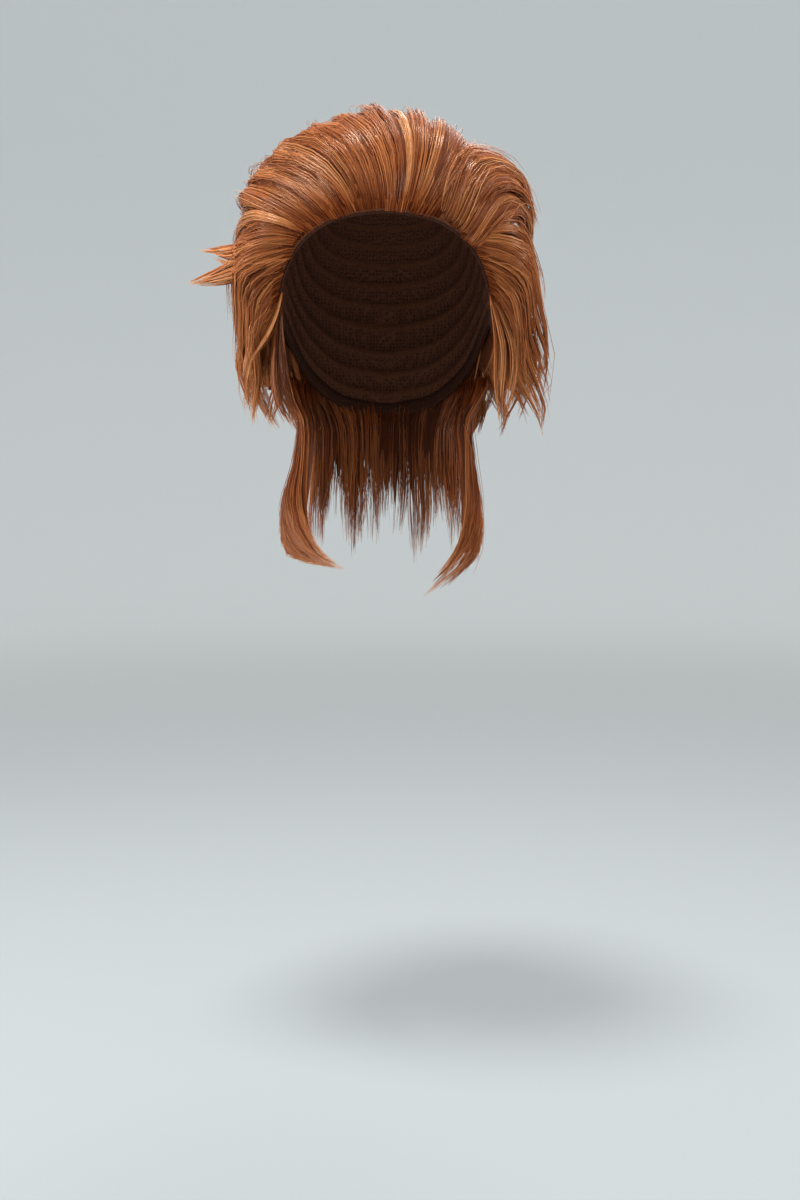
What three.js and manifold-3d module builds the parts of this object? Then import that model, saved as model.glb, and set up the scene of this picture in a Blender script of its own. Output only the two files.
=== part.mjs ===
// Mullet wig as a three.js scene, in millimetres. +Z is up, the brow faces -Y and the wearer's left is +X.
// The origin is the top of the head, on the cap's inner face.
import * as THREE from "three";
import { mergeVertices } from "three/addons/utils/BufferGeometryUtils.js";
import Module from "manifold-3d";

const wasm = await Module();
wasm.setup();

// Head that the wig fits, over the cap's inner face
const headWidth = 152;
const browReach = 88; // from the crown's axis forward to the brow
const occiputReach = 98; // from the crown's axis back to the occiput
const crownHeight = 95; // from the head's widest level up to the crown
const jawDepth = 130; // sets how slowly the head narrows below that level

// Neck that the long hair hangs round
const neckWidth = 100;
const neckDepth = 112;
const neckSetback = 16; // from the crown's axis back to the neck's axis

// Cap, its edge band and the gap left between pieces that touch
const capWall = 1.5;
const bandWall = 1.2;
const bandWidth = 9;
const bandShows = 0.8; // how much of it sticks out below the cap
const gap = 0.3;

// Hair
const hairDepth = 54; // how far the fullest hair stands off the head
const weftWall = 9; // solid root layer under the locks
const rootSink = bandWall + gap + capWall + 0.15 * weftWall; // lift at which the locks start in it
const grooveDepth = 9; // between one lock of a strip and the next
const tipWall = 2;
const lockWidth = 27;
const lockThick = 14;
const napeDrop = 43; // from the head's widest level down to where the long hair starts
const tailDrop = 145; // from there down to the tips

const capSlots = 24; // facets round the cap
const capRings = 6;
const stripRings = 7;
const lockColumns = 3; // facets across one lock of a strip
const lockRings = 7;
const lockSides = 6;

// Rim of the cap: degrees above the head's widest level, from the brow round to the nape
const rimLine = [
  { azimuth: 0, elevation: 36.5 },
  { azimuth: 30, elevation: 34 },
  { azimuth: 45, elevation: 29.5 },
  { azimuth: 56, elevation: 24 },
  { azimuth: 68, elevation: 14 },
  { azimuth: 75, elevation: 2 },
  { azimuth: 82, elevation: -8 },
  { azimuth: 90, elevation: -7 },
  { azimuth: 98, elevation: -1 },
  { azimuth: 108, elevation: -5 },
  { azimuth: 128, elevation: -21 },
  { azimuth: 150, elevation: -30 },
  { azimuth: 180, elevation: -33 },
];

// Outline of the hair seen from the front: its depth at each elevation, as a share of hairDepth
const fullness = [
  { elevation: -45, share: 0.46 },
  { elevation: -30, share: 0.62 },
  { elevation: -15, share: 0.66 },
  { elevation: 0, share: 0.55 },
  { elevation: 20, share: 0.65 },
  { elevation: 37, share: 0.87 },
  { elevation: 50, share: 0.97 },
  { elevation: 70, share: 0.88 },
  { elevation: 90, share: 0.84 },
];

// One column of a table, read between its rows
function read(table, key, at, column) {
  let i = 1;
  while (i < table.length - 1 && table[i][key] < at) i += 1;
  const [low, high] = [table[i - 1], table[i]];
  const share = THREE.MathUtils.clamp((at - low[key]) / (high[key] - low[key]), 0, 1);
  return THREE.MathUtils.lerp(low[column], high[column], share);
}

// Every column of a table of guides at a share of its length
function guideAt(guides, share) {
  const place = share * (guides.length - 1);
  const i = THREE.MathUtils.clamp(Math.floor(place), 0, guides.length - 2);
  const made = {};
  for (const key of Object.keys(guides[i])) {
    made[key] = THREE.MathUtils.lerp(guides[i][key], guides[i + 1][key], place - i);
  }
  return made;
}

const smooth = (x) => THREE.MathUtils.smoothstep(x, 0, 1);

// A steady pseudo-random number from -1 to 1
function wobble(index, channel) {
  const x = Math.sin(index * 12.9898 + channel * 78.233) * 43758.5453;
  return 2 * (x - Math.floor(x)) - 1;
}

// Azimuth runs from the brow round by the wearer's left, elevation up from the head's widest level
function direction(azimuth, elevation) {
  const [a, e] = [azimuth, elevation].map(THREE.MathUtils.degToRad);
  return new THREE.Vector3(Math.sin(a) * Math.cos(e), -Math.cos(a) * Math.cos(e), Math.sin(e));
}

const elevationOf = (toward) => THREE.MathUtils.radToDeg(Math.asin(toward.z));
const headCentre = new THREE.Vector3(0, 0, -crownHeight);
const nape = headCentre.z - napeDrop;

// Degrees of elevation that a length takes up on the head
const degreesFor = (length) => length / THREE.MathUtils.degToRad(crownHeight);
const edgeStep = 1.4 * degreesFor(bandWidth); // between the cap's last rings, so its bulge fits the band

// The point that stands off the scalp by lift in that direction
function offScalp(toward, lift) {
  const reach = new THREE.Vector3(
    headWidth / 2,
    toward.y < 0 ? browReach : occiputReach,
    toward.z > 0 ? crownHeight : jawDepth,
  );
  const outward = toward.clone().divide(reach).normalize();
  return toward.clone().multiply(reach).add(headCentre).addScaledVector(outward, lift);
}

// The point that stands off the neck by lift, at an angle round it and a height
function offNeck(around, height, lift) {
  const a = THREE.MathUtils.degToRad(around);
  return new THREE.Vector3(
    (neckWidth / 2 + lift) * Math.sin(a),
    neckSetback - (neckDepth / 2 + lift) * Math.cos(a),
    height,
  );
}

// Away from the head's centre, or below it away from the wig's axis
function outwardAt(point) {
  const heart = new THREE.Vector3(0, neckSetback / 2, Math.min(point.z, headCentre.z));
  return point.clone().sub(heart).normalize();
}

// A shape is its points and its faces of any number of corners. This makes a closed solid of it, facing
// outwards, with every face moved out by grow
function solidOf({ points, faces }, grow = 0) {
  const corners = faces.flatMap((f) => f.slice(2).map((last, i) => [f[0], f[i + 1], last]));
  const volume = corners.reduce((sum, [a, b, c]) => {
    return sum + points[a].dot(points[b].clone().cross(points[c]));
  }, 0);
  if (volume < 0) corners.forEach((corner) => corner.reverse());
  const facing = corners.map(([a, b, c]) => {
    return points[b].clone().sub(points[a]).cross(points[c].clone().sub(points[a])).normalize();
  });
  const normals = points.map(() => new THREE.Vector3());
  corners.forEach((corner, i) => corner.forEach((c) => normals[c].add(facing[i])));
  const least = points.map(() => 1);
  normals.forEach((normal) => normal.normalize());
  corners.forEach((corner, i) => {
    for (const c of corner) least[c] = Math.min(least[c], normals[c].dot(facing[i]));
  });
  const moved = points.map((p, i) => p.clone().addScaledVector(normals[i], grow / Math.max(0.4, least[i])));
  const vertProperties = new Float32Array(moved.flatMap((p) => p.toArray()));
  return new wasm.Manifold(
    new wasm.Mesh({ numProp: 3, vertProperties, triVerts: new Uint32Array(corners.flat()) }),
  );
}

// A wall round the head between two lifts off the scalp. Its rings lie at the elevations listed for an
// azimuth, from the top down, and a dome starts from the apex
function wallAround(inner, outer, ringsAt, isDome) {
  const points = [];
  const faces = [];
  const slots = Array.from({ length: capSlots }, (_, i) => i);
  const columns = slots.map((slot) => ringsAt((360 / capSlots) * slot));
  const [inside, outside] = [inner, outer].map((lift) => ({
    apex: isDome ? points.push(offScalp(direction(0, 90), lift(90))) - 1 : -1,
    rings: columns[0].map((_, ring) =>
      slots.map((slot) => {
        const elevation = columns[slot][ring];
        const above = elevation - columns[slot].at(-1);
        return points.push(offScalp(direction((360 / capSlots) * slot, elevation), lift(above))) - 1;
      }),
    ),
  }));
  const bridge = (upper, lower, facesIn) => {
    for (const i of slots) {
      const next = (i + 1) % capSlots;
      const quad = [upper[i], lower[i], lower[next], upper[next]];
      faces.push(facesIn ? [quad[0], quad[3], quad[2], quad[1]] : quad);
    }
  };
  for (let ring = 1; ring < inside.rings.length; ring += 1) {
    bridge(outside.rings[ring - 1], outside.rings[ring], false);
    bridge(inside.rings[ring - 1], inside.rings[ring], true);
  }
  bridge(outside.rings.at(-1), inside.rings.at(-1), false);
  if (!isDome) bridge(outside.rings[0], inside.rings[0], true);
  for (const i of isDome ? slots : []) {
    const next = (i + 1) % capSlots;
    faces.push([outside.apex, outside.rings[0][i], outside.rings[0][next]]);
    faces.push([inside.apex, inside.rings[0][next], inside.rings[0][i]]);
  }
  return { points, faces };
}

// Rings of a dome whose edge stays this many degrees above the rim
const domeRings = (offset) => (azimuth) => {
  const edge = rimAt(azimuth) + offset;
  const upper = edge + 2 * edgeStep;
  const count = capRings - 2;
  const rings = Array.from({ length: count }, (_, i) => 90 + ((upper - 90) * (i + 1)) / count);
  return [...rings, edge + edgeStep, edge];
};

// The rim's elevation at an azimuth, the same on both sides
function rimAt(azimuth) {
  const turned = Math.abs(THREE.MathUtils.euclideanModulo(azimuth + 180, 360) - 180);
  return read(rimLine, "azimuth", turned, "elevation");
}

// A lock is lofted through flat rings on its spine. Half widths and half thicknesses come with each ring
function lockShape(rings) {
  const points = [];
  const faces = [];
  rings.forEach(({ at, halfWidth, halfThick }, i) => {
    const along = rings[Math.min(i + 1, rings.length - 1)].at.clone().sub(rings[Math.max(i - 1, 0)].at);
    along.normalize();
    const outward = outwardAt(at);
    outward.addScaledVector(along, -outward.dot(along)).normalize();
    const across = along.clone().cross(outward);
    for (let k = 0; k < lockSides; k += 1) {
      const turn = (2 * Math.PI * k) / lockSides;
      points.push(
        at
          .clone()
          .addScaledVector(across, halfWidth * Math.cos(turn))
          .addScaledVector(outward, halfThick * Math.sin(turn)),
      );
    }
  });
  const ringOf = (i) => Array.from({ length: lockSides }, (_, k) => i * lockSides + k);
  for (let i = 1; i < rings.length; i += 1) {
    const [a, b] = [ringOf(i - 1), ringOf(i)];
    a.forEach((corner, k) => {
      const next = (k + 1) % lockSides;
      faces.push([corner, b[k], b[next], a[next]]);
    });
  }
  faces.push(ringOf(0), ringOf(rings.length - 1).reverse());
  return { points, faces };
}

// How wide a lock is along its length, from root to tip
const taper = (t) => (0.7 + 0.3 * smooth(t / 0.3)) * Math.sqrt(Math.max(0, 1 - t ** 2.6)) + 0.05 * t;

// A strip of locks side by side: ridges along it, grooves between them and a notched hem of tips.
// Its place function gives, for a share across and a share along, the lifts of its two faces and the
// point at any lift
function stripShape({ place, locks, notch, seed }) {
  const columns = lockColumns * locks + 1;
  const points = [];
  const faces = [];
  const outside = [];
  const inside = [];
  for (let c = 0; c < columns; c += 1) {
    const across = c / (columns - 1);
    const ridge = Math.abs(Math.sin(Math.PI * locks * across));
    const lock = Math.min(Math.floor(across * locks), locks - 1);
    const reach = 1 - notch * (1 - ridge) + 0.05 * ridge * wobble(lock + seed, 4);
    outside.push([]);
    inside.push([]);
    for (let ring = 0; ring < stripRings; ring += 1) {
      const { outer, inner, pointAt } = place(across, (reach * ring) / (stripRings - 1), ridge);
      outside[c].push(points.push(pointAt(outer)) - 1);
      inside[c].push(points.push(pointAt(inner)) - 1);
    }
  }
  const patch = (a, b) => {
    for (let i = 1; i < a.length; i += 1) faces.push([a[i - 1], b[i - 1], b[i], a[i]]);
  };
  for (let c = 1; c < columns; c += 1) {
    patch(outside[c - 1], outside[c]);
    patch(inside[c], inside[c - 1]);
  }
  patch(inside[0], outside[0]);
  patch(outside.at(-1), inside.at(-1));
  const endRow = (face, end) => face.map((column) => column.at(end));
  patch(endRow(outside, 0), endRow(inside, 0));
  patch(endRow(inside, -1), endRow(outside, -1));
  return { points, faces };
}

// A strip that leaves the scalp, runs over the head to its tips and falls back from its crest. Its two
// side edges rise over softEdge of its width, and where it hangs clear of the head it thins to its tips
function scalpStrip({ guides, locks, notch, seed, softEdge, hangs }) {
  const place = (across, along, ridge) => {
    const guide = guideAt(guides, across);
    const root = direction(guide.azimuth, guide.elevation ?? rimAt(guide.azimuth) + 2);
    const tip = direction(guide.tipAzimuth, guide.tipElevation);
    const angle = root.angleTo(tip);
    const toward = root
      .clone()
      .multiplyScalar(Math.sin((1 - along) * angle) / Math.sin(angle))
      .addScaledVector(tip, Math.sin(along * angle) / Math.sin(angle));
    const rise = Math.sin((Math.PI / 2) * Math.min(1, along / guide.crest));
    const fall = THREE.MathUtils.lerp(1, guide.fall, smooth((along - guide.crest) / (1 - guide.crest)));
    const soft = 0.35 + 0.65 * smooth(Math.min(across, 1 - across) / softEdge);
    const groove = grooveDepth * (1 - ridge) * (0.3 + 0.7 * along);
    const full = hairDepth * guide.lift * soft * read(fullness, "elevation", elevationOf(toward), "share");
    const outer = rootSink + tipWall + (full - groove - rootSink - tipWall) * rise * fall;
    const inner = THREE.MathUtils.lerp(rootSink, outer - tipWall, hangs ? smooth(2 * along - 1) : 0);
    return { outer, inner, pointAt: (lift) => offScalp(toward, lift) };
  };
  return { place, locks, notch, seed };
}

// A strip that leaves the scalp at the nape and hangs round the neck, through stations down its length
function neckStrip({ stations, locks, notch, seed }) {
  const place = (across, along, ridge) => {
    const row = guideAt(stations, THREE.MathUtils.clamp(along, 0, 1));
    const beyond = along - THREE.MathUtils.clamp(along, 0, 1);
    const around = THREE.MathUtils.lerp(row.front, row.back, across);
    const edge = Math.sqrt(Math.max(0, 1 - (2 * across - 1) ** 4));
    const half = Math.max(tipWall, row.thick * lockThick * (0.25 + 0.75 * edge)) / 2;
    const outer = row.off * lockThick + half - (1 - ridge) * grooveDepth * 0.3 * row.thick;
    const inner = row.off * lockThick - half;
    const height = nape - tailDrop * (row.down + beyond);
    const elevation = THREE.MathUtils.radToDeg(Math.asin(Math.max(-1, (height - headCentre.z) / jawDepth)));
    const onNeck = smooth(row.down / 0.3);
    const pointAt = (lift) => {
      return offScalp(direction(around, elevation), lift).lerp(offNeck(around, height, lift), onNeck);
    };
    return { outer, inner, pointAt };
  };
  return { place, locks, notch, seed };
}

// A lock through stations of its own: where each stands, its width and its thickness
function stationLock(stations, placeOf) {
  const curve = new THREE.CatmullRomCurve3(stations.map(placeOf), false, "centripetal");
  const rings = [];
  for (let i = 0; i < lockRings; i += 1) {
    const t = i / (lockRings - 1);
    const size = guideAt(stations, t);
    rings.push({
      at: curve.getPoint(t),
      halfWidth: (lockWidth / 2) * size.width,
      halfThick: (lockThick / 2) * size.thick,
    });
  }
  return rings;
}

const onHead = ({ azimuth, elevation, lift }) => offScalp(direction(azimuth, elevation), hairDepth * lift);

// Swept-back hair, from the right temple over the brow to the left. Its roots follow the rim
const browGuides = [
  { azimuth: -54, tipAzimuth: -138, tipElevation: 20, lift: 1.1, crest: 0.34, fall: 0.62 },
  { azimuth: -38, tipAzimuth: -156, tipElevation: 26, lift: 0.95, crest: 0.34, fall: 0.62 },
  { azimuth: -20, tipAzimuth: -168, tipElevation: 30, lift: 0.92, crest: 0.34, fall: 0.62 },
  { azimuth: -4, tipAzimuth: -178, tipElevation: 32, lift: 0.98, crest: 0.34, fall: 0.62 },
  { azimuth: 14, tipAzimuth: -190, tipElevation: 30, lift: 0.94, crest: 0.34, fall: 0.62 },
  { azimuth: 34, tipAzimuth: -206, tipElevation: 24, lift: 0.78, crest: 0.34, fall: 0.62 },
];

// Temple hair, swept back over the ear, given for the wearer's left
const templeGuides = [
  { azimuth: 46, elevation: 30, tipAzimuth: 140, tipElevation: 22, lift: 1, crest: 0.4, fall: 0.8 },
  { azimuth: 60, elevation: 21, tipAzimuth: 137, tipElevation: 6, lift: 1.02, crest: 0.4, fall: 0.82 },
  { azimuth: 70, elevation: 10, tipAzimuth: 130, tipElevation: -8, lift: 1.06, crest: 0.4, fall: 0.85 },
  { azimuth: 77, elevation: -2, tipAzimuth: 118, tipElevation: -22, lift: 1.08, crest: 0.4, fall: 0.9 },
];

// Flatter hair under the lock that rolls over, which takes the place of the left temple's first guide
const underCurl = [
  { azimuth: 35, elevation: 36, tipAzimuth: 152, tipElevation: 28, lift: 0.6, crest: 0.4, fall: 0.8 },
  { ...templeGuides[0], lift: 0.7 },
];

// Layered ends that hang from the ear to the jaw, given for the wearer's left
const jawGuides = [
  { azimuth: 80, elevation: 2, tipAzimuth: 86, tipElevation: -24, lift: 1.1, crest: 0.5, fall: 1 },
  { azimuth: 96, elevation: 4, tipAzimuth: 98, tipElevation: -30, lift: 1.08, crest: 0.5, fall: 0.95 },
  { azimuth: 112, elevation: 0, tipAzimuth: 112, tipElevation: -36, lift: 1, crest: 0.5, fall: 0.8 },
  { azimuth: 130, elevation: -4, tipAzimuth: 128, tipElevation: -42, lift: 0.92, crest: 0.5, fall: 0.75 },
];
const leftFuller = 1.14; // the wearer's left side stands out this much more than the right

// Crown hair that falls over the back of the head, from the right side round to the left
const crownGuides = [
  { azimuth: -104, elevation: 46, tipAzimuth: -124, tipElevation: -6, lift: 0.92, crest: 0.4, fall: 0.85 },
  { azimuth: -138, elevation: 60, tipAzimuth: -150, tipElevation: -14, lift: 0.88, crest: 0.4, fall: 0.85 },
  { azimuth: -180, elevation: 66, tipAzimuth: -180, tipElevation: -18, lift: 0.86, crest: 0.4, fall: 0.85 },
  { azimuth: -222, elevation: 60, tipAzimuth: -210, tipElevation: -14, lift: 0.88, crest: 0.4, fall: 0.85 },
  { azimuth: -256, elevation: 46, tipAzimuth: -236, tipElevation: -6, lift: 0.92, crest: 0.4, fall: 0.85 },
];

// Layer under it that covers the nape and flares over the long hair
const napeGuides = [
  { azimuth: -114, elevation: 4, tipAzimuth: -124, tipElevation: -44, lift: 0.66, crest: 0.4, fall: 1.3 },
  { azimuth: -180, elevation: -2, tipAzimuth: -180, tipElevation: -48, lift: 0.66, crest: 0.4, fall: 1.8 },
  { azimuth: -246, elevation: 4, tipAzimuth: -236, tipElevation: -44, lift: 0.66, crest: 0.4, fall: 1.3 },
];

// The big lock that rolls over above the left temple, in three strands
const curlStations = [
  [
    { azimuth: 38, elevation: 38, lift: 0.14, width: 0.9, thick: 0.8 },
    { azimuth: 47, elevation: 50, lift: 0.52, width: 1, thick: 1 },
    { azimuth: 66, elevation: 50, lift: 0.7, width: 1, thick: 1 },
    { azimuth: 83, elevation: 42, lift: 0.85, width: 0.85, thick: 0.9 },
    { azimuth: 91, elevation: 30, lift: 0.86, width: 0.16, thick: 0.2 },
  ],
  [
    { azimuth: 45, elevation: 34, lift: 0.14, width: 0.9, thick: 0.8 },
    { azimuth: 54, elevation: 44, lift: 0.5, width: 1, thick: 1 },
    { azimuth: 71, elevation: 44, lift: 0.72, width: 1, thick: 1 },
    { azimuth: 86, elevation: 36, lift: 0.82, width: 0.8, thick: 0.8 },
    { azimuth: 93, elevation: 26, lift: 0.79, width: 0.14, thick: 0.2 },
  ],
  [
    { azimuth: 52, elevation: 29, lift: 0.14, width: 0.85, thick: 0.8 },
    { azimuth: 61, elevation: 37, lift: 0.44, width: 0.95, thick: 1 },
    { azimuth: 76, elevation: 37, lift: 0.62, width: 0.95, thick: 1 },
    { azimuth: 88, elevation: 29, lift: 0.68, width: 0.7, thick: 0.8 },
    { azimuth: 96, elevation: 19, lift: 0.64, width: 0.12, thick: 0.2 },
  ],
];

// Two spikes that flick out from the right temple
const flickStations = {
  flick_upper: [
    { azimuth: -70, elevation: 20, lift: 0.44, width: 0.5, thick: 0.56 },
    { azimuth: -77, elevation: 17, lift: 0.6, width: 0.5, thick: 0.6 },
    { azimuth: -83, elevation: 17, lift: 0.82, width: 0.34, thick: 0.4 },
    { azimuth: -88, elevation: 17, lift: 1.12, width: 0.07, thick: 0.1 },
  ],
  flick_lower: [
    { azimuth: -68, elevation: 15, lift: 0.4, width: 0.56, thick: 0.6 },
    { azimuth: -76, elevation: 12, lift: 0.57, width: 0.66, thick: 0.7 },
    { azimuth: -83, elevation: 9, lift: 0.86, width: 0.42, thick: 0.46 },
    { azimuth: -88, elevation: 7, lift: 1.22, width: 0.07, thick: 0.1 },
  ],
};

// Long hair round the neck: the angles of a strip's two edges, how far down, how far off the neck and
// how thick. The tails turn in over the collar and are given for the wearer's left
const tailStations = {
  tail_right: [
    { front: 112, back: 138, down: 0, off: 0.65, thick: 0.6 },
    { front: 97, back: 122, down: 0.22, off: 0.75, thick: 0.8 },
    { front: 88, back: 110, down: 0.45, off: 0.85, thick: 1 },
    { front: 78, back: 104, down: 0.65, off: 1.2, thick: 1.4 },
    { front: 52, back: 88, down: 0.87, off: 1.35, thick: 1.2 },
    { front: 26, back: 40, down: 0.95, off: 0.8, thick: 0.2 },
  ],
  tail_left: [
    { front: 112, back: 138, down: 0, off: 0.65, thick: 0.6 },
    { front: 98, back: 121, down: 0.22, off: 0.72, thick: 0.7 },
    { front: 89, back: 109, down: 0.45, off: 0.75, thick: 0.8 },
    { front: 80, back: 102, down: 0.67, off: 0.95, thick: 1.1 },
    { front: 60, back: 86, down: 0.87, off: 1.1, thick: 1 },
    { front: 22, back: 34, down: 1.08, off: 0.8, thick: 0.2 },
  ],
};
const longStations = [
  { front: 116, back: 244, down: 0.02, off: 0.7, thick: 0.6 },
  { front: 118, back: 242, down: 0.25, off: 0.8, thick: 0.8 },
  { front: 118, back: 242, down: 0.5, off: 0.9, thick: 1 },
  { front: 120, back: 240, down: 0.75, off: 1.3, thick: 1 },
  { front: 128, back: 232, down: 1, off: 1.9, thick: 0.3 },
];

// The same guides for the wearer's right
const mirrored = (guides) => guides.map((g) => ({ ...g, azimuth: -g.azimuth, tipAzimuth: -g.tipAzimuth }));
const fuller = (guides, share) => guides.map((guide) => ({ ...guide, lift: guide.lift * share }));
const mirroredNeck = (stations) => stations.map((row) => ({ ...row, front: -row.front, back: -row.back }));

// The shape of a three.js geometry
function shapeOf(geometry) {
  geometry.deleteAttribute("normal").deleteAttribute("uv");
  const { attributes, index } = mergeVertices(geometry, 1e-3);
  const points = Array.from({ length: attributes.position.count }, (_, i) => {
    return new THREE.Vector3().fromBufferAttribute(attributes.position, i);
  });
  const faces = [];
  for (let i = 0; i < index.count; i += 3) faces.push([...index.array.slice(i, i + 3)]);
  return { points, faces: faces.filter(([a, b, c]) => a !== b && b !== c && c !== a) };
}

const join = (solids) => solids.reduce((a, b) => a.add(b));

// Band: a tape inside the cap's rim that shows as a dark line below the hair
const band = wallAround(
  () => 0,
  () => bandWall,
  (azimuth) => [bandWidth - bandShows, -bandShows].map((up) => rimAt(azimuth) + degreesFor(up)),
  false,
);

// Cap: its wall rests on the head, and steps off it over the band
const bandTop = degreesFor(bandWidth - bandShows + gap);
const overBand = (above) => (bandWall + gap) * (1 - smooth(above / edgeStep - 1));
const cap = wallAround(
  (above) => (above > bandTop + degreesFor(gap / 2) ? 0 : bandWall + gap),
  (above) => overBand(above) + capWall,
  (azimuth) => {
    const rim = rimAt(azimuth);
    return [...domeRings(0)(azimuth).slice(0, -2), rim + bandTop + degreesFor(gap), rim + bandTop, rim];
  },
  true,
);

// Hair roots: a layer over the cap, thin at the rim and full height inside it
const rootLayer = wallAround(
  () => capWall / 2,
  (above) => overBand(above) + capWall + weftWall * (0.3 + 0.7 * smooth(above / 25)),
  domeRings(degreesFor(1)),
  true,
);

// The part of the root layer between two widths and two depths
function rootsWithin(left, right, front, back) {
  const box = new THREE.BoxGeometry(right - left, back - front, 4 * crownHeight);
  box.translate((left + right) / 2, (front + back) / 2, -crownHeight);
  const block = shapeOf(box);
  return (grow) => solidOf(rootLayer, grow).intersect(solidOf(block, grow));
}

// The room that the wearer's head and neck take, which no hair enters
function wearerRoom() {
  const head = new THREE.SphereGeometry(1, 24, 12).rotateX(Math.PI / 2);
  const place = head.attributes.position;
  for (let i = 0; i < place.count; i += 1) {
    const toward = new THREE.Vector3().fromBufferAttribute(place, i).normalize();
    const p = offScalp(toward, 2 * capWall);
    place.setXYZ(i, p.x, p.y, p.z);
  }
  const neck = new THREE.CylinderGeometry(1, 1, 2 * tailDrop, 24).rotateX(Math.PI / 2);
  neck.scale(neckWidth / 2, neckDepth / 2, 1).translate(0, neckSetback, nape - tailDrop / 2);
  return solidOf(shapeOf(head)).add(solidOf(shapeOf(neck)));
}

const topHalf = 52; // half width of the strip of roots that the swept-back hair has
const backFront = 34; // where the back hair's roots start, behind the crown's axis
const farAway = 4 * headWidth;

const fromStrip = (strip) => {
  const shape = stripShape(strip);
  return (grow) => solidOf(shape, grow);
};
const fromRings = (rings) => {
  const shape = lockShape(rings);
  return (grow) => solidOf(shape, grow);
};

const scalpRow = (row) => fromStrip(scalpStrip(row));
const neckRow = (row) => fromStrip(neckStrip(row));
const sideRows = (facing, hanging, seed) => [
  scalpRow({ guides: facing, locks: facing.length + 1, notch: 0.12, seed, softEdge: 0.08 }),
  scalpRow({ guides: hanging, locks: 4, notch: 0.2, seed: seed + 10, softEdge: 0.3, hangs: true }),
];

const hairGroups = [
  {
    name: "tail_right",
    pieces: [neckRow({ stations: mirroredNeck(tailStations.tail_right), locks: 3, notch: 0.12, seed: 1 })],
  },
  {
    name: "tail_left",
    pieces: [neckRow({ stations: tailStations.tail_left, locks: 3, notch: 0.12, seed: 2 })],
  },
  {
    name: "long_hair",
    pieces: [neckRow({ stations: longStations, locks: 5, notch: 0.16, seed: 3 })],
  },
  {
    name: "side_hair_right",
    pieces: [
      ...sideRows(mirrored(templeGuides), mirrored(jawGuides), 10),
      rootsWithin(-farAway, -topHalf - gap, -farAway, backFront),
    ],
  },
  {
    name: "side_hair_left",
    pieces: [
      ...sideRows([...underCurl, ...templeGuides.slice(1)], fuller(jawGuides, leftFuller), 30),
      rootsWithin(topHalf + gap, farAway, -farAway, backFront),
    ],
  },
  {
    name: "back_hair",
    pieces: [
      scalpRow({ guides: crownGuides, locks: 7, notch: 0.12, seed: 50, softEdge: 0.06 }),
      scalpRow({ guides: napeGuides, locks: 6, notch: 0.2, seed: 70, softEdge: 0.06, hangs: true }),
      rootsWithin(-farAway, farAway, backFront + gap, farAway),
    ],
  },
  {
    name: "top_hair",
    pieces: [
      scalpRow({ guides: browGuides, locks: 9, notch: 0.14, seed: 80, softEdge: 0.05 }),
      rootsWithin(-topHalf, topHalf, -farAway, backFront),
    ],
  },
  { name: "curl_lock", pieces: curlStations.map((rows) => fromRings(stationLock(rows, onHead))) },
  { name: "flick_upper", pieces: [fromRings(stationLock(flickStations.flick_upper, onHead))] },
  { name: "flick_lower", pieces: [fromRings(stationLock(flickStations.flick_lower, onHead))] },
];

const hairColour = 0xa85a2e;
const capColour = 0x4a2413;
const wig = new THREE.Group();

function addNode(name, solid, colour, roughness) {
  const { vertProperties, triVerts } = solid.getMesh();
  const geometry = new THREE.BufferGeometry();
  geometry.setAttribute("position", new THREE.BufferAttribute(vertProperties, 3));
  geometry.setIndex(new THREE.BufferAttribute(triVerts, 1));
  geometry.computeVertexNormals();
  const material = new THREE.MeshStandardMaterial({ color: colour, roughness, metalness: 0 });
  const mesh = new THREE.Mesh(geometry, material);
  mesh.name = name;
  wig.add(mesh);
}

addNode("cap", solidOf(cap), capColour, 0.9);
addNode("edge_band", solidOf(band), capColour, 0.8);

// The largest closed skin of a solid, without loose crumbs or sealed pockets
function largestSkin(solid) {
  const { vertProperties, triVerts } = solid.getMesh();
  const owner = Array.from({ length: vertProperties.length / 3 }, (_, i) => i);
  const find = (i) => {
    while (owner[i] !== i) {
      owner[i] = owner[owner[i]];
      i = owner[i];
    }
    return i;
  };
  for (let i = 0; i < triVerts.length; i += 3) {
    owner[find(triVerts[i + 1])] = find(triVerts[i]);
    owner[find(triVerts[i + 2])] = find(triVerts[i]);
  }
  const skins = new Map();
  for (let i = 0; i < triVerts.length; i += 3) {
    const key = find(triVerts[i]);
    if (!skins.has(key)) skins.set(key, []);
    skins.get(key).push(...triVerts.slice(i, i + 3));
  }
  const bodies = [...skins.values()].map((skin) => {
    const mesh = new wasm.Mesh({ numProp: 3, vertProperties, triVerts: new Uint32Array(skin) });
    return new wasm.Manifold(mesh);
  });
  const [largest] = bodies.sort((a, b) => b.volume() - a.volume());
  return largest.decompose().length > 1 ? largestSkin(largest) : largest;
}

// Each group is cut back from the groups before it by the gap
let taken = join([wearerRoom(), solidOf(cap, gap), solidOf(band, gap)]);
for (const { name, pieces } of hairGroups) {
  const grown = (grow) => join(pieces.map((piece) => piece(grow)));
  const body = largestSkin(grown(0).subtract(taken));
  addNode(name, body, hairColour, 0.45);
  taken = join([taken, grown(gap), body]);
}

export default wig;
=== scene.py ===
# %% [markdown]
# # A mullet wig of straight copper hair
#
# The wig is a knitted cap that carries hair swept back off the brow, layered sides to the jaw and
# long tails down the neck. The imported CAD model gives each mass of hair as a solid. This script
# dresses every one of them in fibres, so that it looks like hair and not like a carving.

import math
from functools import partial
from types import SimpleNamespace

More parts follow.
